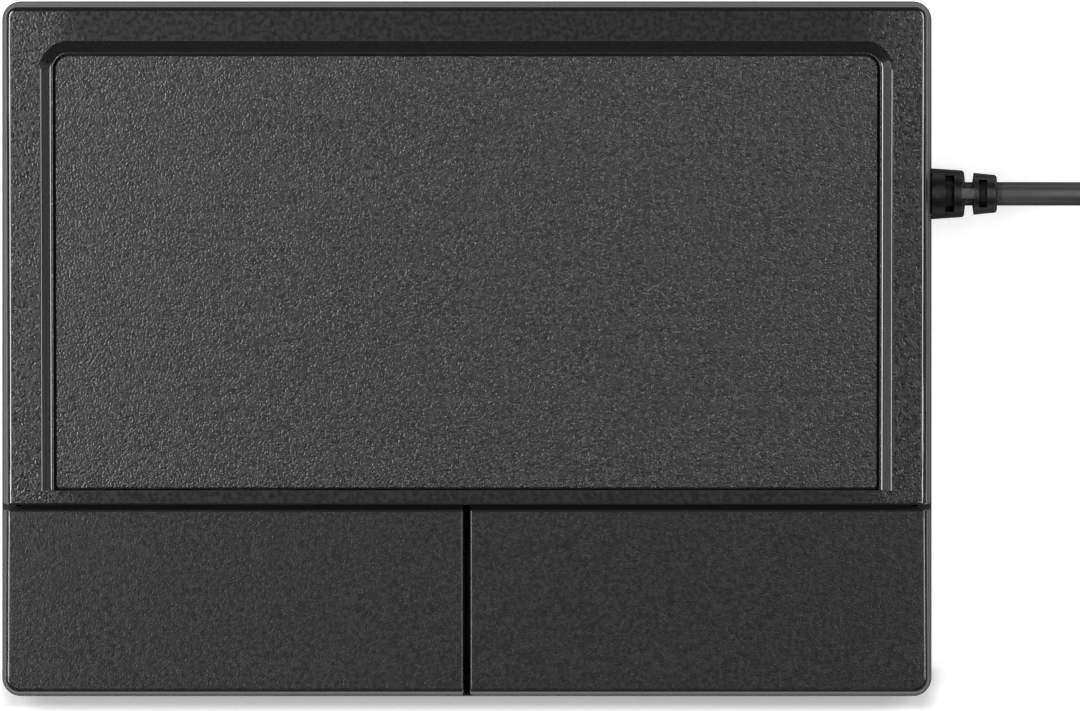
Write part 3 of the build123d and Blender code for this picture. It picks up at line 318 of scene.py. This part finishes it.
def plain_finish(name, color, roughness, grain, metallic=0.0, specular=0.5, coat=0.0, side=None):
    """A finish with fine grain of (size, depth, tone change), and clouds of the same grain in its gloss.
    side is (roughness, share of the tone) on faces that look sideways: the skin there is duller, and its
    darker tone is painted shade."""
    size, depth, change = grain
    material, tree, output = new_material(name)
    place = grain_place(tree, size)
    fine = noise(tree, place, 1.0, skin_detail)
    cloud = noise(tree, place, cloud_scale, skin_detail)
    tone = between(tree, cloud, *noise_range, 1 - change, 1 + change)
    glossiest = (1 - cloud_gloss) * roughness
    dullest = (1 + cloud_gloss) * roughness
    rough = between(tree, cloud, *noise_range, glossiest, dullest)
    if side is not None:
        facing_height = axes(tree, coordinate(tree, "Normal"))["Z"]
        looks_up = between(tree, facing_height, *side_heights, 0, 1)
        rough = mixed(tree, looks_up, side[0], rough)
        # faces that look sideways get a darker colour: painted shade
        tone = maths(tree, "MULTIPLY", tone, mixed(tree, looks_up, side[1], 1.0))
    bump = feed(tree, "ShaderNodeBump", {"Distance": depth, "Height": fine})
    values = {"Base Color": tinted(tree, color, tone), "Roughness": rough, "Normal": bump.outputs[0]}
    shader = feed(tree, "ShaderNodeBsdfPrincipled", values)
    shader.inputs["Metallic"].default_value = metallic
    shader.inputs["Specular IOR Level"].default_value = specular
    shader.inputs["Coat Weight"].default_value = coat
    tree.links.new(shader.outputs[0], output.inputs["Surface"])
    return material


jacket_color = (0.032, 0.032, 0.033)
jacket_roughness = 0.52
jacket_specular = 1.0
# the cable's sides are duller, and their darker colour is painted shade, so the top looks lit
jacket_side_dull_and_painted_shade = (0.95, 0.25)
jacket_grain = (0.25 * mm, 0.012 * mm, 0.1)
jacket = plain_finish(
    "cable_jacket",
    jacket_color,
    jacket_roughness,
    jacket_grain,
    specular=jacket_specular,
    side=jacket_side_dull_and_painted_shade,
)
cable_data = cord_curve("cable", cord_points(), cord_radius)
cable_data.materials.append(jacket)
cable = bpy.data.objects.new("cable", cable_data)
scene.collection.objects.link(cable)
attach(cable, "base")
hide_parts("cord_stretch", "cord_coil", "cord_tail")

# The bottom case: an injection moulding in dark grey ABS, with a spark-eroded grain on its outer walls. It
# carries everything else on its floor, its columns and its posts.
width = 120.0 * mm
depth = 89.7 * mm
height_front = 12.0 * mm
height_back = 18.9 * mm
button_depth = 24.13 * mm
seam_gap = 0.68 * mm
slot_width = 0.84 * mm
cap_back = -depth / 2 + button_depth
seam_y = cap_back + seam_gap / 2
deck_tilt = math.atan2(height_back - height_front, depth)
deck_normal = Vector((0.0, -math.sin(deck_tilt), math.cos(deck_tilt)))
deck_middle = Vector((0.0, 0.0, (height_front + height_back) / 2))
level_dots = (0.985, 0.998)
# faces that tilt away from the top get a darker colour, which is painted shade, and a duller gloss
steep_dots = (0.25, 0.45)
steep_painted_shade = 0.5
steep_roughness = 0.85
# how deep and how wide the painted shade in the seam and the slot goes, how dark it is and how dull
gap_depth = (0.6 * mm, 1.4 * mm)
painted_gap_shade = 0.8
gap_roughness = 0.95
gap_edges = (0.53, 0.75)
plastic_detail = 1.0
coarse_scale = 0.4
coarse_share = 0.4
gloss_change = 0.04


def along_normal(tree, vector):
    """How far a vector goes out of the sloping top."""
    return feed(tree, "ShaderNodeVectorMath", {0: vector, 1: deck_normal}, "DOT_PRODUCT").outputs["Value"]


def facing_share(tree, dots):
    """0 on faces that tilt away from the sloping top and 1 on those that look up with it. dots are the
    cosines at which the change begins and ends."""
    return between(tree, along_normal(tree, coordinate(tree, "Normal")), *dots, 0, 1)


def painted_gap_shade_share(tree):
    """Painted shade: 1 deep inside the seam and the slot round the buttons, where little light reaches, and 0
    elsewhere.
    """
    place = coordinate(tree, "Object")
    level = deck_middle.dot(deck_normal)
    under = between(tree, along_normal(tree, place), level - gap_depth[1], level - gap_depth[0], 1, 0)
    place_on = axes(tree, place)
    in_seam = fading(tree, place_on["Y"], seam_y, [edge * seam_gap for edge in gap_edges])
    in_slot = fading(tree, place_on["X"], 0, [edge * slot_width for edge in gap_edges])
    in_slot = maths(tree, "MULTIPLY", in_slot, maths(tree, "LESS_THAN", place_on["Y"], seam_y))
    return maths(tree, "MULTIPLY", under, maths(tree, "MAXIMUM", in_seam, in_slot))


def grained_plastic(name, color, roughness, grain, specular=1.0, smooth=None, paint_gap_shade=False, calm=None):
    """Moulded plastic. The grain is (size, depth, speck share). smooth is the roughness of polished slopes,
    and calm is (near, far, share): nearer to the middle than near the grain is only that share as deep, and
    further out than far it is whole."""
    size, grain_depth, speck = grain
    material, tree, output = new_material(name)
    place = grain_place(tree, size)
    fine = noise(tree, place, 1.0, plastic_detail)
    coarse = noise(tree, place, coarse_scale, plastic_detail)
    height = maths(tree, "ADD", fine, maths(tree, "MULTIPLY", coarse, coarse_share))
    tone = between(tree, fine, *noise_range, 1 - speck, 1 + speck)
    rough = between(tree, coarse, *noise_range, roughness - gloss_change, roughness + gloss_change)
    if smooth is not None:
        share = facing_share(tree, level_dots)
        height = maths(tree, "MULTIPLY", height, share)
        rough = mixed(tree, share, smooth, rough)
    # the walls' darker colour is painted shade
    steep = facing_share(tree, steep_dots)
    tone = maths(tree, "MULTIPLY", tone, mixed(tree, steep, 1 - steep_painted_shade, 1.0))
    rough = mixed(tree, steep, steep_roughness, rough)
    if calm is not None:
        near, far, calm_share = calm
        inner = fading(tree, axes(tree, coordinate(tree, "Object"))["X"], 0, (near, far))
        height = maths(tree, "MULTIPLY", height, mixed(tree, inner, 1.0, calm_share))
    # deep in the seam and the slot the colour is darkened, which is painted shade, and the gloss is duller
    if paint_gap_shade:
        painted_gap = painted_gap_shade_share(tree)
        tone = maths(tree, "MULTIPLY", tone, mixed(tree, painted_gap, 1.0, 1 - painted_gap_shade))
        rough = mixed(tree, painted_gap, rough, gap_roughness)
    bump = feed(tree, "ShaderNodeBump", {"Strength": 1.0, "Distance": grain_depth, "Height": height})
    values = {"Base Color": tinted(tree, color, tone), "Normal": bump.outputs[0], "Roughness": rough}
    shader = feed(tree, "ShaderNodeBsdfPrincipled", values)
    shader.inputs["Specular IOR Level"].default_value = specular
    tree.links.new(shader.outputs[0], output.inputs["Surface"])
    return material


def dress(material, *names):
    """Gives CAD nodes a material."""
    for name in names:
        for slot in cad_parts[name].material_slots:
            slot.material = material


housing_color = (0.010, 0.010, 0.0105)
case_roughness = 0.5
case_specular = 0.5
case_grain = (0.2 * mm, 0.05 * mm, 0.25)
case_plastic = grained_plastic(
    "case_plastic",
    housing_color,
    case_roughness,
    case_grain,
    specular=case_specular,
)
dress(case_plastic, "bottom_case")

# The feet: four discs punched from black silicone rubber sheet and glued into round recesses.
# Their rubber is matt, with a fine cloth print from the sheet's press.
rubber_color = (0.022, 0.022, 0.022)
rubber_roughness = 0.75
rubber_specular = 0.35
rubber_grain = (0.22 * mm, 0.02 * mm, 0.15)
foot_rubber = plain_finish(
    "foot_rubber",
    rubber_color,
    rubber_roughness,
    rubber_grain,
    specular=rubber_specular,
)
foot_names = [f"{end}_{side}_foot" for end in ("front", "back") for side in ("left", "right")]
dress(foot_rubber, *foot_names)

# The screws: zinc plated thread-forming screws with domed pan heads and a cross recess. Four come up through
# the bottom case into the cover's bosses, and four smaller ones go down through the main board into the
# case's posts. Their threads are rolled, and the plain screws of the CAD model give way to them.
screw_places = {
    # piece: (seat height, shank length, half turns about X, the places over the desk), in mm
    "case_screws": (2.7, 8.0, 0, ((-54.9, 39.7), (54.9, 39.7), (-55.7, -15.0), (55.7, -15.0))),
    "board_screws": (6.4, 4.0, 1, ((-44.2, -36.95), (44.2, -36.95), (-16.0, -28.25), (16.0, -28.25))),
}
screw_sizes = {
    "Head Radius": 1.9 * mm,
    "Head Height": 1.2 * mm,
    "Cross Length": 2.2 * mm,
    "Cross Width": 0.5 * mm,
    "Cross Depth": 0.6 * mm,
    "Core Radius": 0.78 * mm,
    "Thread Radius": 0.9 * mm,
    "Thread Height": 0.13 * mm,
    "Thread Pitch": 0.7 * mm,
    "Tip Length": 1.2 * mm,
}
head_sides = 40
head_rings = 20
shank_sides = 20
tip_share = 0.3
thread_steps = 16
ridge_sides = 4
zinc_color = (0.47, 0.47, 0.48)
zinc_roughness = 0.34
zinc_grain = (0.12 * mm, 0.004 * mm, 0.12)


def node_group(name, inputs):
    """A Geometry Nodes tree with a geometry input and named inputs of the given socket types."""
    group = bpy.data.node_groups.new(name, "GeometryNodeTree")
    group.interface.new_socket("Geometry", in_out="INPUT", socket_type="NodeSocketGeometry")
    for label, kind in inputs.items():
        group.interface.new_socket(label, in_out="INPUT", socket_type=kind)
    group.interface.new_socket("Geometry", in_out="OUTPUT", socket_type="NodeSocketGeometry")
    return group, group.nodes.new("NodeGroupInput").outputs, group.nodes.new("NodeGroupOutput").inputs


def made_by(group, base, name, values):
    """Runs a Geometry Nodes tree on an object and keeps the result as a plain mesh object."""
    modifier = base.modifiers.new("make", "NODES")
    modifier.node_group = group
    for item in group.interface.items_tree:
        if item.name in values and item.in_out == "INPUT":
            modifier[item.identifier] = values[item.name]
    seen = base.evaluated_get(bpy.context.evaluated_depsgraph_get())
    mesh = bpy.data.meshes.new_from_object(seen)
    mesh.name = name
    bpy.data.objects.remove(base)
    made = bpy.data.objects.new(name, mesh)
    scene.collection.objects.link(made)
    return made


def finish_group(group, given, geometry, wanted):
    """Ends a tree: real meshes instead of instances, with the material that was asked for."""
    real = feed(group, "GeometryNodeRealizeInstances", {"Geometry": geometry}).outputs[0]
    coated = feed(group, "GeometryNodeSetMaterial", {"Geometry": real, "Material": given["Material"]})
    group.links.new(coated.outputs[0], wanted["Geometry"])


def joined(group, *parts):
    """Several geometries as one."""
    made = group.nodes.new("GeometryNodeJoinGeometry")
    for part in parts:
        group.links.new(part, made.inputs[0])
    return made.outputs[0]


def combined(group, x, y, z):
    """A vector of three numbers or outputs."""
    return feed(group, "ShaderNodeCombineXYZ", {"X": x, "Y": y, "Z": z}).outputs[0]


def raised(group, geometry, height):
    """A geometry that is moved up along the screw."""
    values = {"Geometry": geometry, "Translation": combined(group, 0, 0, height)}
    return feed(group, "GeometryNodeTransform", values).outputs[0]


def screw_head(group, given):
    """A dome that is flat on its seat, with the cross cut into it. It points down from z = 0."""
    values = {"Segments": head_sides, "Rings": head_rings, "Radius": 1.0}
    ball = feed(group, "GeometryNodeMeshUVSphere", values).outputs["Mesh"]
    place = axes(group, group.nodes.new("GeometryNodeInputPosition").outputs[0])
    squared = combined(
        group,
        maths(group, "MULTIPLY", place["X"], given["Head Radius"]),
        maths(group, "MULTIPLY", place["Y"], given["Head Radius"]),
        maths(group, "MULTIPLY", maths(group, "MINIMUM", place["Z"], 0), given["Head Height"]),
    )
    dome = feed(group, "GeometryNodeSetPosition", {"Geometry": ball, "Position": squared}).outputs[0]
    deep = maths(group, "MULTIPLY", given["Cross Depth"], 2)
    crown = maths(group, "MULTIPLY", given["Head Height"], -1)
    cut = feed(group, "GeometryNodeMeshBoolean", {"Mesh 1": dome}, "DIFFERENCE")
    for along, over in (("Cross Length", "Cross Width"), ("Cross Width", "Cross Length")):
        box_size = combined(group, given[along], given[over], deep)
        bar = feed(group, "GeometryNodeMeshCube", {"Size": box_size}).outputs["Mesh"]
        group.links.new(raised(group, bar, crown), cut.inputs["Mesh 2"])
    return cut.outputs["Mesh"]


def screw_shank(group, given):
    """The core, its tapered tip and one thread wound round it, upwards from z = 0."""
    straight = maths(group, "SUBTRACT", given["Length"], given["Tip Length"])
    core_values = {"Vertices": shank_sides, "Radius": given["Core Radius"], "Depth": straight}
    core = feed(group, "GeometryNodeMeshCylinder", core_values).outputs["Mesh"]
    tip_values = {
        "Vertices": shank_sides,
        "Radius Top": maths(group, "MULTIPLY", given["Core Radius"], tip_share),
        "Radius Bottom": given["Core Radius"],
        "Depth": given["Tip Length"],
    }
    tip = feed(group, "GeometryNodeMeshCone", tip_values).outputs["Mesh"]
    helix_values = {
        "Resolution": thread_steps,
        "Rotations": maths(group, "DIVIDE", straight, given["Thread Pitch"]),
        "Start Radius": given["Thread Radius"],
        "End Radius": given["Thread Radius"],
        "Height": straight,
    }
    helix = feed(group, "GeometryNodeCurveSpiral", helix_values).outputs[0]
    ridge_values = {"Resolution": ridge_sides, "Radius": given["Thread Height"]}
    ridge = feed(group, "GeometryNodeCurvePrimitiveCircle", ridge_values).outputs["Curve"]
    thread_values = {"Curve": helix, "Profile Curve": ridge, "Fill Caps": True}
    thread = feed(group, "GeometryNodeCurveToMesh", thread_values).outputs[0]
    middle = maths(group, "MULTIPLY", straight, 0.5)
    return joined(group, raised(group, core, middle), raised(group, tip, straight), thread)


def screw_group():
    """A tree that sets one screw on each point, all turned the same way."""
    inputs = {name: "NodeSocketFloat" for name in (*screw_sizes, "Length")}
    inputs.update({"Turn": "NodeSocketVector", "Material": "NodeSocketMaterial"})
    group, given, wanted = node_group("screws", inputs)
    screw = joined(group, screw_head(group, given), screw_shank(group, given))
    turn = feed(group, "FunctionNodeEulerToRotation", {0: given["Turn"]}).outputs[0]
    values = {"Points": given["Geometry"], "Instance": screw, "Rotation": turn}
    screws = feed(group, "GeometryNodeInstanceOnPoints", values).outputs[0]
    finish_group(group, given, screws, wanted)
    return group


zinc = plain_finish("zinc_plate", zinc_color, zinc_roughness, zinc_grain, metallic=1.0)
screw_tree = screw_group()
for node, (seat, shank, half_turns, places) in screw_places.items():
    seats = bpy.data.meshes.new(f"{node}_seats")
    seats.from_pydata([(x * mm, y * mm, seat * mm) for x, y in places], [], [])
    base = bpy.data.objects.new(f"{node}_seats", seats)
    scene.collection.objects.link(base)
    screw_turn = (half_turns * math.pi, 0.0, 0.0)
    values = {**screw_sizes, "Length": shank * mm, "Turn": screw_turn, "Material": zinc}
    screws = made_by(screw_tree, base, f"threaded_{node}", values)
    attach(screws, "base")
    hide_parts(node)

# The circuit boards: glass epoxy under black solder mask. The sensor board is clamped under the rim of the
# cover, and the main board stands on posts under the buttons.
mask_color = (0.010, 0.012, 0.011)
mask_roughness = 0.32
mask_coat = 0.3
mask_grain = (0.5 * mm, 0.006 * mm, 0.2)
mask = plain_finish("solder_mask", mask_color, mask_roughness, mask_grain, coat=mask_coat)
dress(mask, "sensor_board", "main_board")

# The chips and the switch bodies: moulded black epoxy and glass filled nylon, with a matt moulded skin.
# They are soldered to the boards by their leads.
epoxy_color = (0.016, 0.016, 0.017)
epoxy_roughness = 0.55
epoxy_grain = (0.1 * mm, 0.004 * mm, 0.15)
epoxy = plain_finish("chip_epoxy", epoxy_color, epoxy_roughness, epoxy_grain)
dress(epoxy, "touch_controller", "usb_controller", "left_switch_body", "right_switch_body")

# The capacitors: small blocks of fired ceramic in tan brown, pressed in layers.
# They are soldered in rows beside the chips.
ceramic_color = (0.38, 0.27, 0.17)
ceramic_roughness = 0.4
ceramic_grain = (0.15 * mm, 0.003 * mm, 0.2)
ceramic = plain_finish("capacitor_ceramic", ceramic_color, ceramic_roughness, ceramic_grain)
dress(ceramic, "sensor_capacitors", "board_capacitors")

# Tinned sheet: the stiffening plate under the sensor board, the switches' covers and the crystal's can.
# They are pressed from thin steel. The plate is clamped, and the others close the parts that they cover.
tin_color = (0.56, 0.56, 0.55)
tin_roughness = 0.3
tin_grain = (0.3 * mm, 0.004 * mm, 0.08)
tin = plain_finish("tinned_sheet", tin_color, tin_roughness, tin_grain, metallic=1.0)
dress(tin, "backing_plate", "left_switch_cover", "right_switch_cover", "crystal")

# The sockets and the cable's connector: moulded in natural nylon. The sockets and the header are soldered to
# the boards, and the connector is pushed into its header.
nylon_color = (0.70, 0.66, 0.56)
nylon_roughness = 0.45
nylon_grain = (0.2 * mm, 0.004 * mm, 0.06)
nylon = plain_finish("natural_nylon", nylon_color, nylon_roughness, nylon_grain)
dress(nylon, "sensor_ribbon_socket", "board_ribbon_socket", "cable_header", "cable_connector")

# The ribbon cable: white laminated film with a slight gloss, with flat copper tracks inside.
# It is folded down from the sensor board and pushed into a socket at each end.
film_color = (0.68, 0.68, 0.64)
film_roughness = 0.3
film_grain = (0.6 * mm, 0.003 * mm, 0.04)
dress(plain_finish("ribbon_film", film_color, film_roughness, film_grain), "ribbon_cable")

# The transfer tape that holds the touch surface on the sensor board: a thin layer of milky adhesive.
# It comes on a liner, is cut to the surface's outline and is pressed on.
tape_color = (0.55, 0.54, 0.5)
tape_roughness = 0.5
tape_grain = (0.8 * mm, 0.004 * mm, 0.06)
dress(plain_finish("transfer_tape", tape_color, tape_roughness, tape_grain), "overlay_adhesive")

# The switch plungers: black acetal, moulded with a smooth skin because they slide.
# Each stands in the opening of its switch's cover, under the button's boss.
acetal_color = (0.02, 0.02, 0.02)
acetal_roughness = 0.35
acetal_grain = (0.1 * mm, 0.002 * mm, 0.08)
acetal = plain_finish("plunger_acetal", acetal_color, acetal_roughness, acetal_grain)
dress(acetal, "left_switch_plunger", "right_switch_plunger")

# The four wires from the jacket's end to the connector: stranded copper in glossy PVC of the usual colours.
# They are crimped into the connector's contacts.
wire_colors = {
    "red_wire": (0.50, 0.018, 0.014),
    "white_wire": (0.74, 0.74, 0.71),
    "green_wire": (0.016, 0.26, 0.06),
    "black_wire": (0.014, 0.014, 0.014),
}
wire_roughness = 0.32
wire_grain = (0.3 * mm, 0.002 * mm, 0.06)
for wire_name, wire_color in wire_colors.items():
    dress(plain_finish(f"{wire_name}_skin", wire_color, wire_roughness, wire_grain), wire_name)

# The strain relief: soft black PVC moulded over the jacket, with slots that let it bend. It has the satin
# skin of a polished tool. The jacket goes on behind it to the connector.
relief_color = (0.008, 0.008, 0.0085)
relief_roughness = 0.36
# the relief's sides are duller, and their darker colour is painted shade
relief_side_dull_and_painted_shade = (0.9, 0.5)
relief_grain = (0.2 * mm, 0.02 * mm, 0.12)
relief_skin = plain_finish("relief_skin", relief_color, relief_roughness, relief_grain, side=relief_side_dull_and_painted_shade)
dress(relief_skin, "strain_relief")
dress(jacket, "held_cable")

# The top cover: moulded in the same ABS as the case and screwed to it from below. Its side rims carry the
# coarse grain, the back rim and the bar a calmer one, and the slopes of the recess are polished.
cover_roughness = 0.297
cover_slope_roughness = 0.13
cover_grain = (0.24 * mm, 0.075 * mm, 0.35)
cover_calm = (47.0 * mm, 55.0 * mm, 0.25)
cover_plastic = grained_plastic(
    "cover_plastic",
    housing_color,
    cover_roughness,
    cover_grain,
    smooth=cover_slope_roughness,
    paint_gap_shade=True,
    calm=cover_calm,
)
dress(cover_plastic, "top_cover")

# The cove at the foot of the recess: the slopes run out level before they break off at the touch surface.
# It is moulded on the cover, and follows the sides and the round back corners of the opening.
rim_side = 6.92 * mm
rim_back = 7.04 * mm
bar_to_opening = 1.74 * mm
slope_drop = 0.75 * mm
slope_run = 1.57 * mm
slope_angle = math.atan2(slope_drop, slope_run)
opening_half_width = width / 2 - rim_side
opening_front = (cap_back + seam_gap + bar_to_opening) / math.cos(deck_tilt)
opening_back = (depth / 2 - rim_back) / math.cos(deck_tilt)
opening_corner_radius = 2.1 * mm
cove_radius = 0.95 * mm
cove_edge_radius = 0.1 * mm
cove_wall = 0.5 * mm
cove_buried = 0.06 * mm
cove_steps = 10
cove_corner_steps = 16


def cove_profile():
    """The cove's outline: across is the distance outside the opening, and up the height over the rim, which
    is negative. It starts on the slope, sweeps round to level and ends down the opening's wall."""
    slope_share = math.tan(slope_angle) * math.sin(slope_angle) + math.cos(slope_angle) - 1
    foot = -slope_drop + cove_radius * slope_share
    points = []
    for i in range(cove_steps + 1):
        angle = slope_angle * (1 - i / cove_steps)
        points.append((cove_radius * math.sin(angle), foot + cove_radius * (1 - math.cos(angle))))
    for i in range(1, cove_steps):
        angle = math.pi / 2 * i / (cove_steps - 1)
        across = cove_edge_radius * (1 - math.sin(angle))
        points.append((across, foot - cove_edge_radius * (1 - math.cos(angle))))
    points.append((0, foot - cove_wall))
    points.append((cove_buried * 2, foot - cove_wall))
    points.append((points[0][0] + cove_buried, points[0][1] - cove_buried))
    return points


def plain_curve(name, points, cyclic):
    """A curve object with one straight-sided spline."""
    data = bpy.data.curves.new(name, "CURVE")
    data.dimensions = "3D"
    spline = data.splines.new("POLY")
    spline.points.add(len(points) - 1)
    for point, place in zip(spline.points, points):
        point.co = (*place, 0, 1)
    spline.use_cyclic_u = cyclic
    made = bpy.data.objects.new(name, data)
    scene.collection.objects.link(made)
    return made


def cove_group():
    """A tree that rounds a route's corners, sweeps the cove's outline along it and lays it on the slope."""
    inputs = {
        "Corner Radius": "NodeSocketFloat",
        "Profile": "NodeSocketObject",
        "Place": "NodeSocketVector",
        "Tilt": "NodeSocketVector",
        "Material": "NodeSocketMaterial",
    }
    group, given, wanted = node_group("cove", inputs)
    values = {"Curve": given["Geometry"], "Radius": given["Corner Radius"]}
    bent = feed(group, "GeometryNodeFilletCurve", values)
    bent.mode = "POLY"
    bent.inputs["Count"].default_value = cove_corner_steps
    upright = feed(group, "GeometryNodeSetCurveNormal", {"Curve": bent.outputs[0]})
    upright.mode = "Z_UP"
    profile = feed(group, "GeometryNodeObjectInfo", {"Object": given["Profile"]})
    values = {"Curve": upright.outputs[0], "Profile Curve": profile.outputs["Geometry"], "Fill Caps": True}
    swept = feed(group, "GeometryNodeCurveToMesh", values)
    values = {"Geometry": swept.outputs[0], "Translation": given["Place"], "Rotation": given["Tilt"]}
    laid = feed(group, "GeometryNodeTransform", values)
    finish_group(group, given, laid.outputs[0], wanted)
    return group


cove_route = [
    (-opening_half_width, opening_front),
    (-opening_half_width, opening_back),
    (opening_half_width, opening_back),
    (opening_half_width, opening_front),
]
# the sweep's normals point inwards and down
cove_shape = plain_curve("cove_shape", [(-across, -up) for across, up in cove_profile()], True)
cove_values = {
    "Corner Radius": opening_corner_radius,
    "Profile": cove_shape,
    "Place": deck_middle,
    "Tilt": (deck_tilt, 0.0, 0.0),
    "Material": cover_plastic,
}
recess_cove = made_by(cove_group(), plain_curve("cove_route", cove_route, False), "recess_cove", cove_values)
bpy.data.objects.remove(cove_shape)
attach(recess_cove, "base")

# The touch surface: a printed sheet with a coarse grain that the finger slides on. It is glued on the sensor
# board and lies a little under the rim.
sheet_color = (0.015, 0.0155, 0.016)
sheet_roughness = 0.34
sheet_specular = 0.9
sheet_grain = (0.26 * mm, 0.09 * mm, 0.5)
touch_sheet = grained_plastic(
    "touch_sheet",
    sheet_color,
    sheet_roughness,
    sheet_grain,
    specular=sheet_specular,
)
dress(touch_sheet, "touch_surface")

# The buttons: two caps in the same ABS, with a finer and shallower grain. They tip on two pivots each, and
# their ledges close the seam from below.
button_roughness = 0.347
button_specular = 0.85
button_edge_roughness = 0.2
button_grain = (0.22 * mm, 0.042 * mm, 0.4)
button_plastic = grained_plastic(
    "button_plastic",
    housing_color,
    button_roughness,
    button_grain,
    specular=button_specular,
    smooth=button_edge_roughness,
    paint_gap_shade=True,
)
dress(button_plastic, "left_button", "right_button")

# The plug: a nickel plated steel shell with a white insulator and four gilded contacts, held in a satin black
# grip that is moulded over its back and over the cable's end.
grip_color = (0.012, 0.012, 0.0125)
grip_roughness = 0.45
grip_specular = 0.7
grip_grain = (0.25 * mm, 0.02 * mm, 0.12)
grip_skin = plain_finish("grip_skin", grip_color, grip_roughness, grip_grain, specular=grip_specular)
dress(grip_skin, "plug_grip")
nickel_color = (0.60, 0.58, 0.55)
nickel_roughness = 0.22
nickel_grain = (0.15 * mm, 0.002 * mm, 0.06)
dress(plain_finish("nickel_plate", nickel_color, nickel_roughness, nickel_grain, metallic=1.0), "plug_shell")
insert_color = (0.78, 0.78, 0.75)
insert_roughness = 0.4
insert_grain = (0.2 * mm, 0.003 * mm, 0.04)
dress(plain_finish("insert_plastic", insert_color, insert_roughness, insert_grain), "plug_tongue")
gold_color = (0.78, 0.57, 0.24)
gold_roughness = 0.25
gold_grain = (0.1 * mm, 0.001 * mm, 0.06)
dress(plain_finish("contact_gold", gold_color, gold_roughness, gold_grain, metallic=1.0), "plug_contacts")
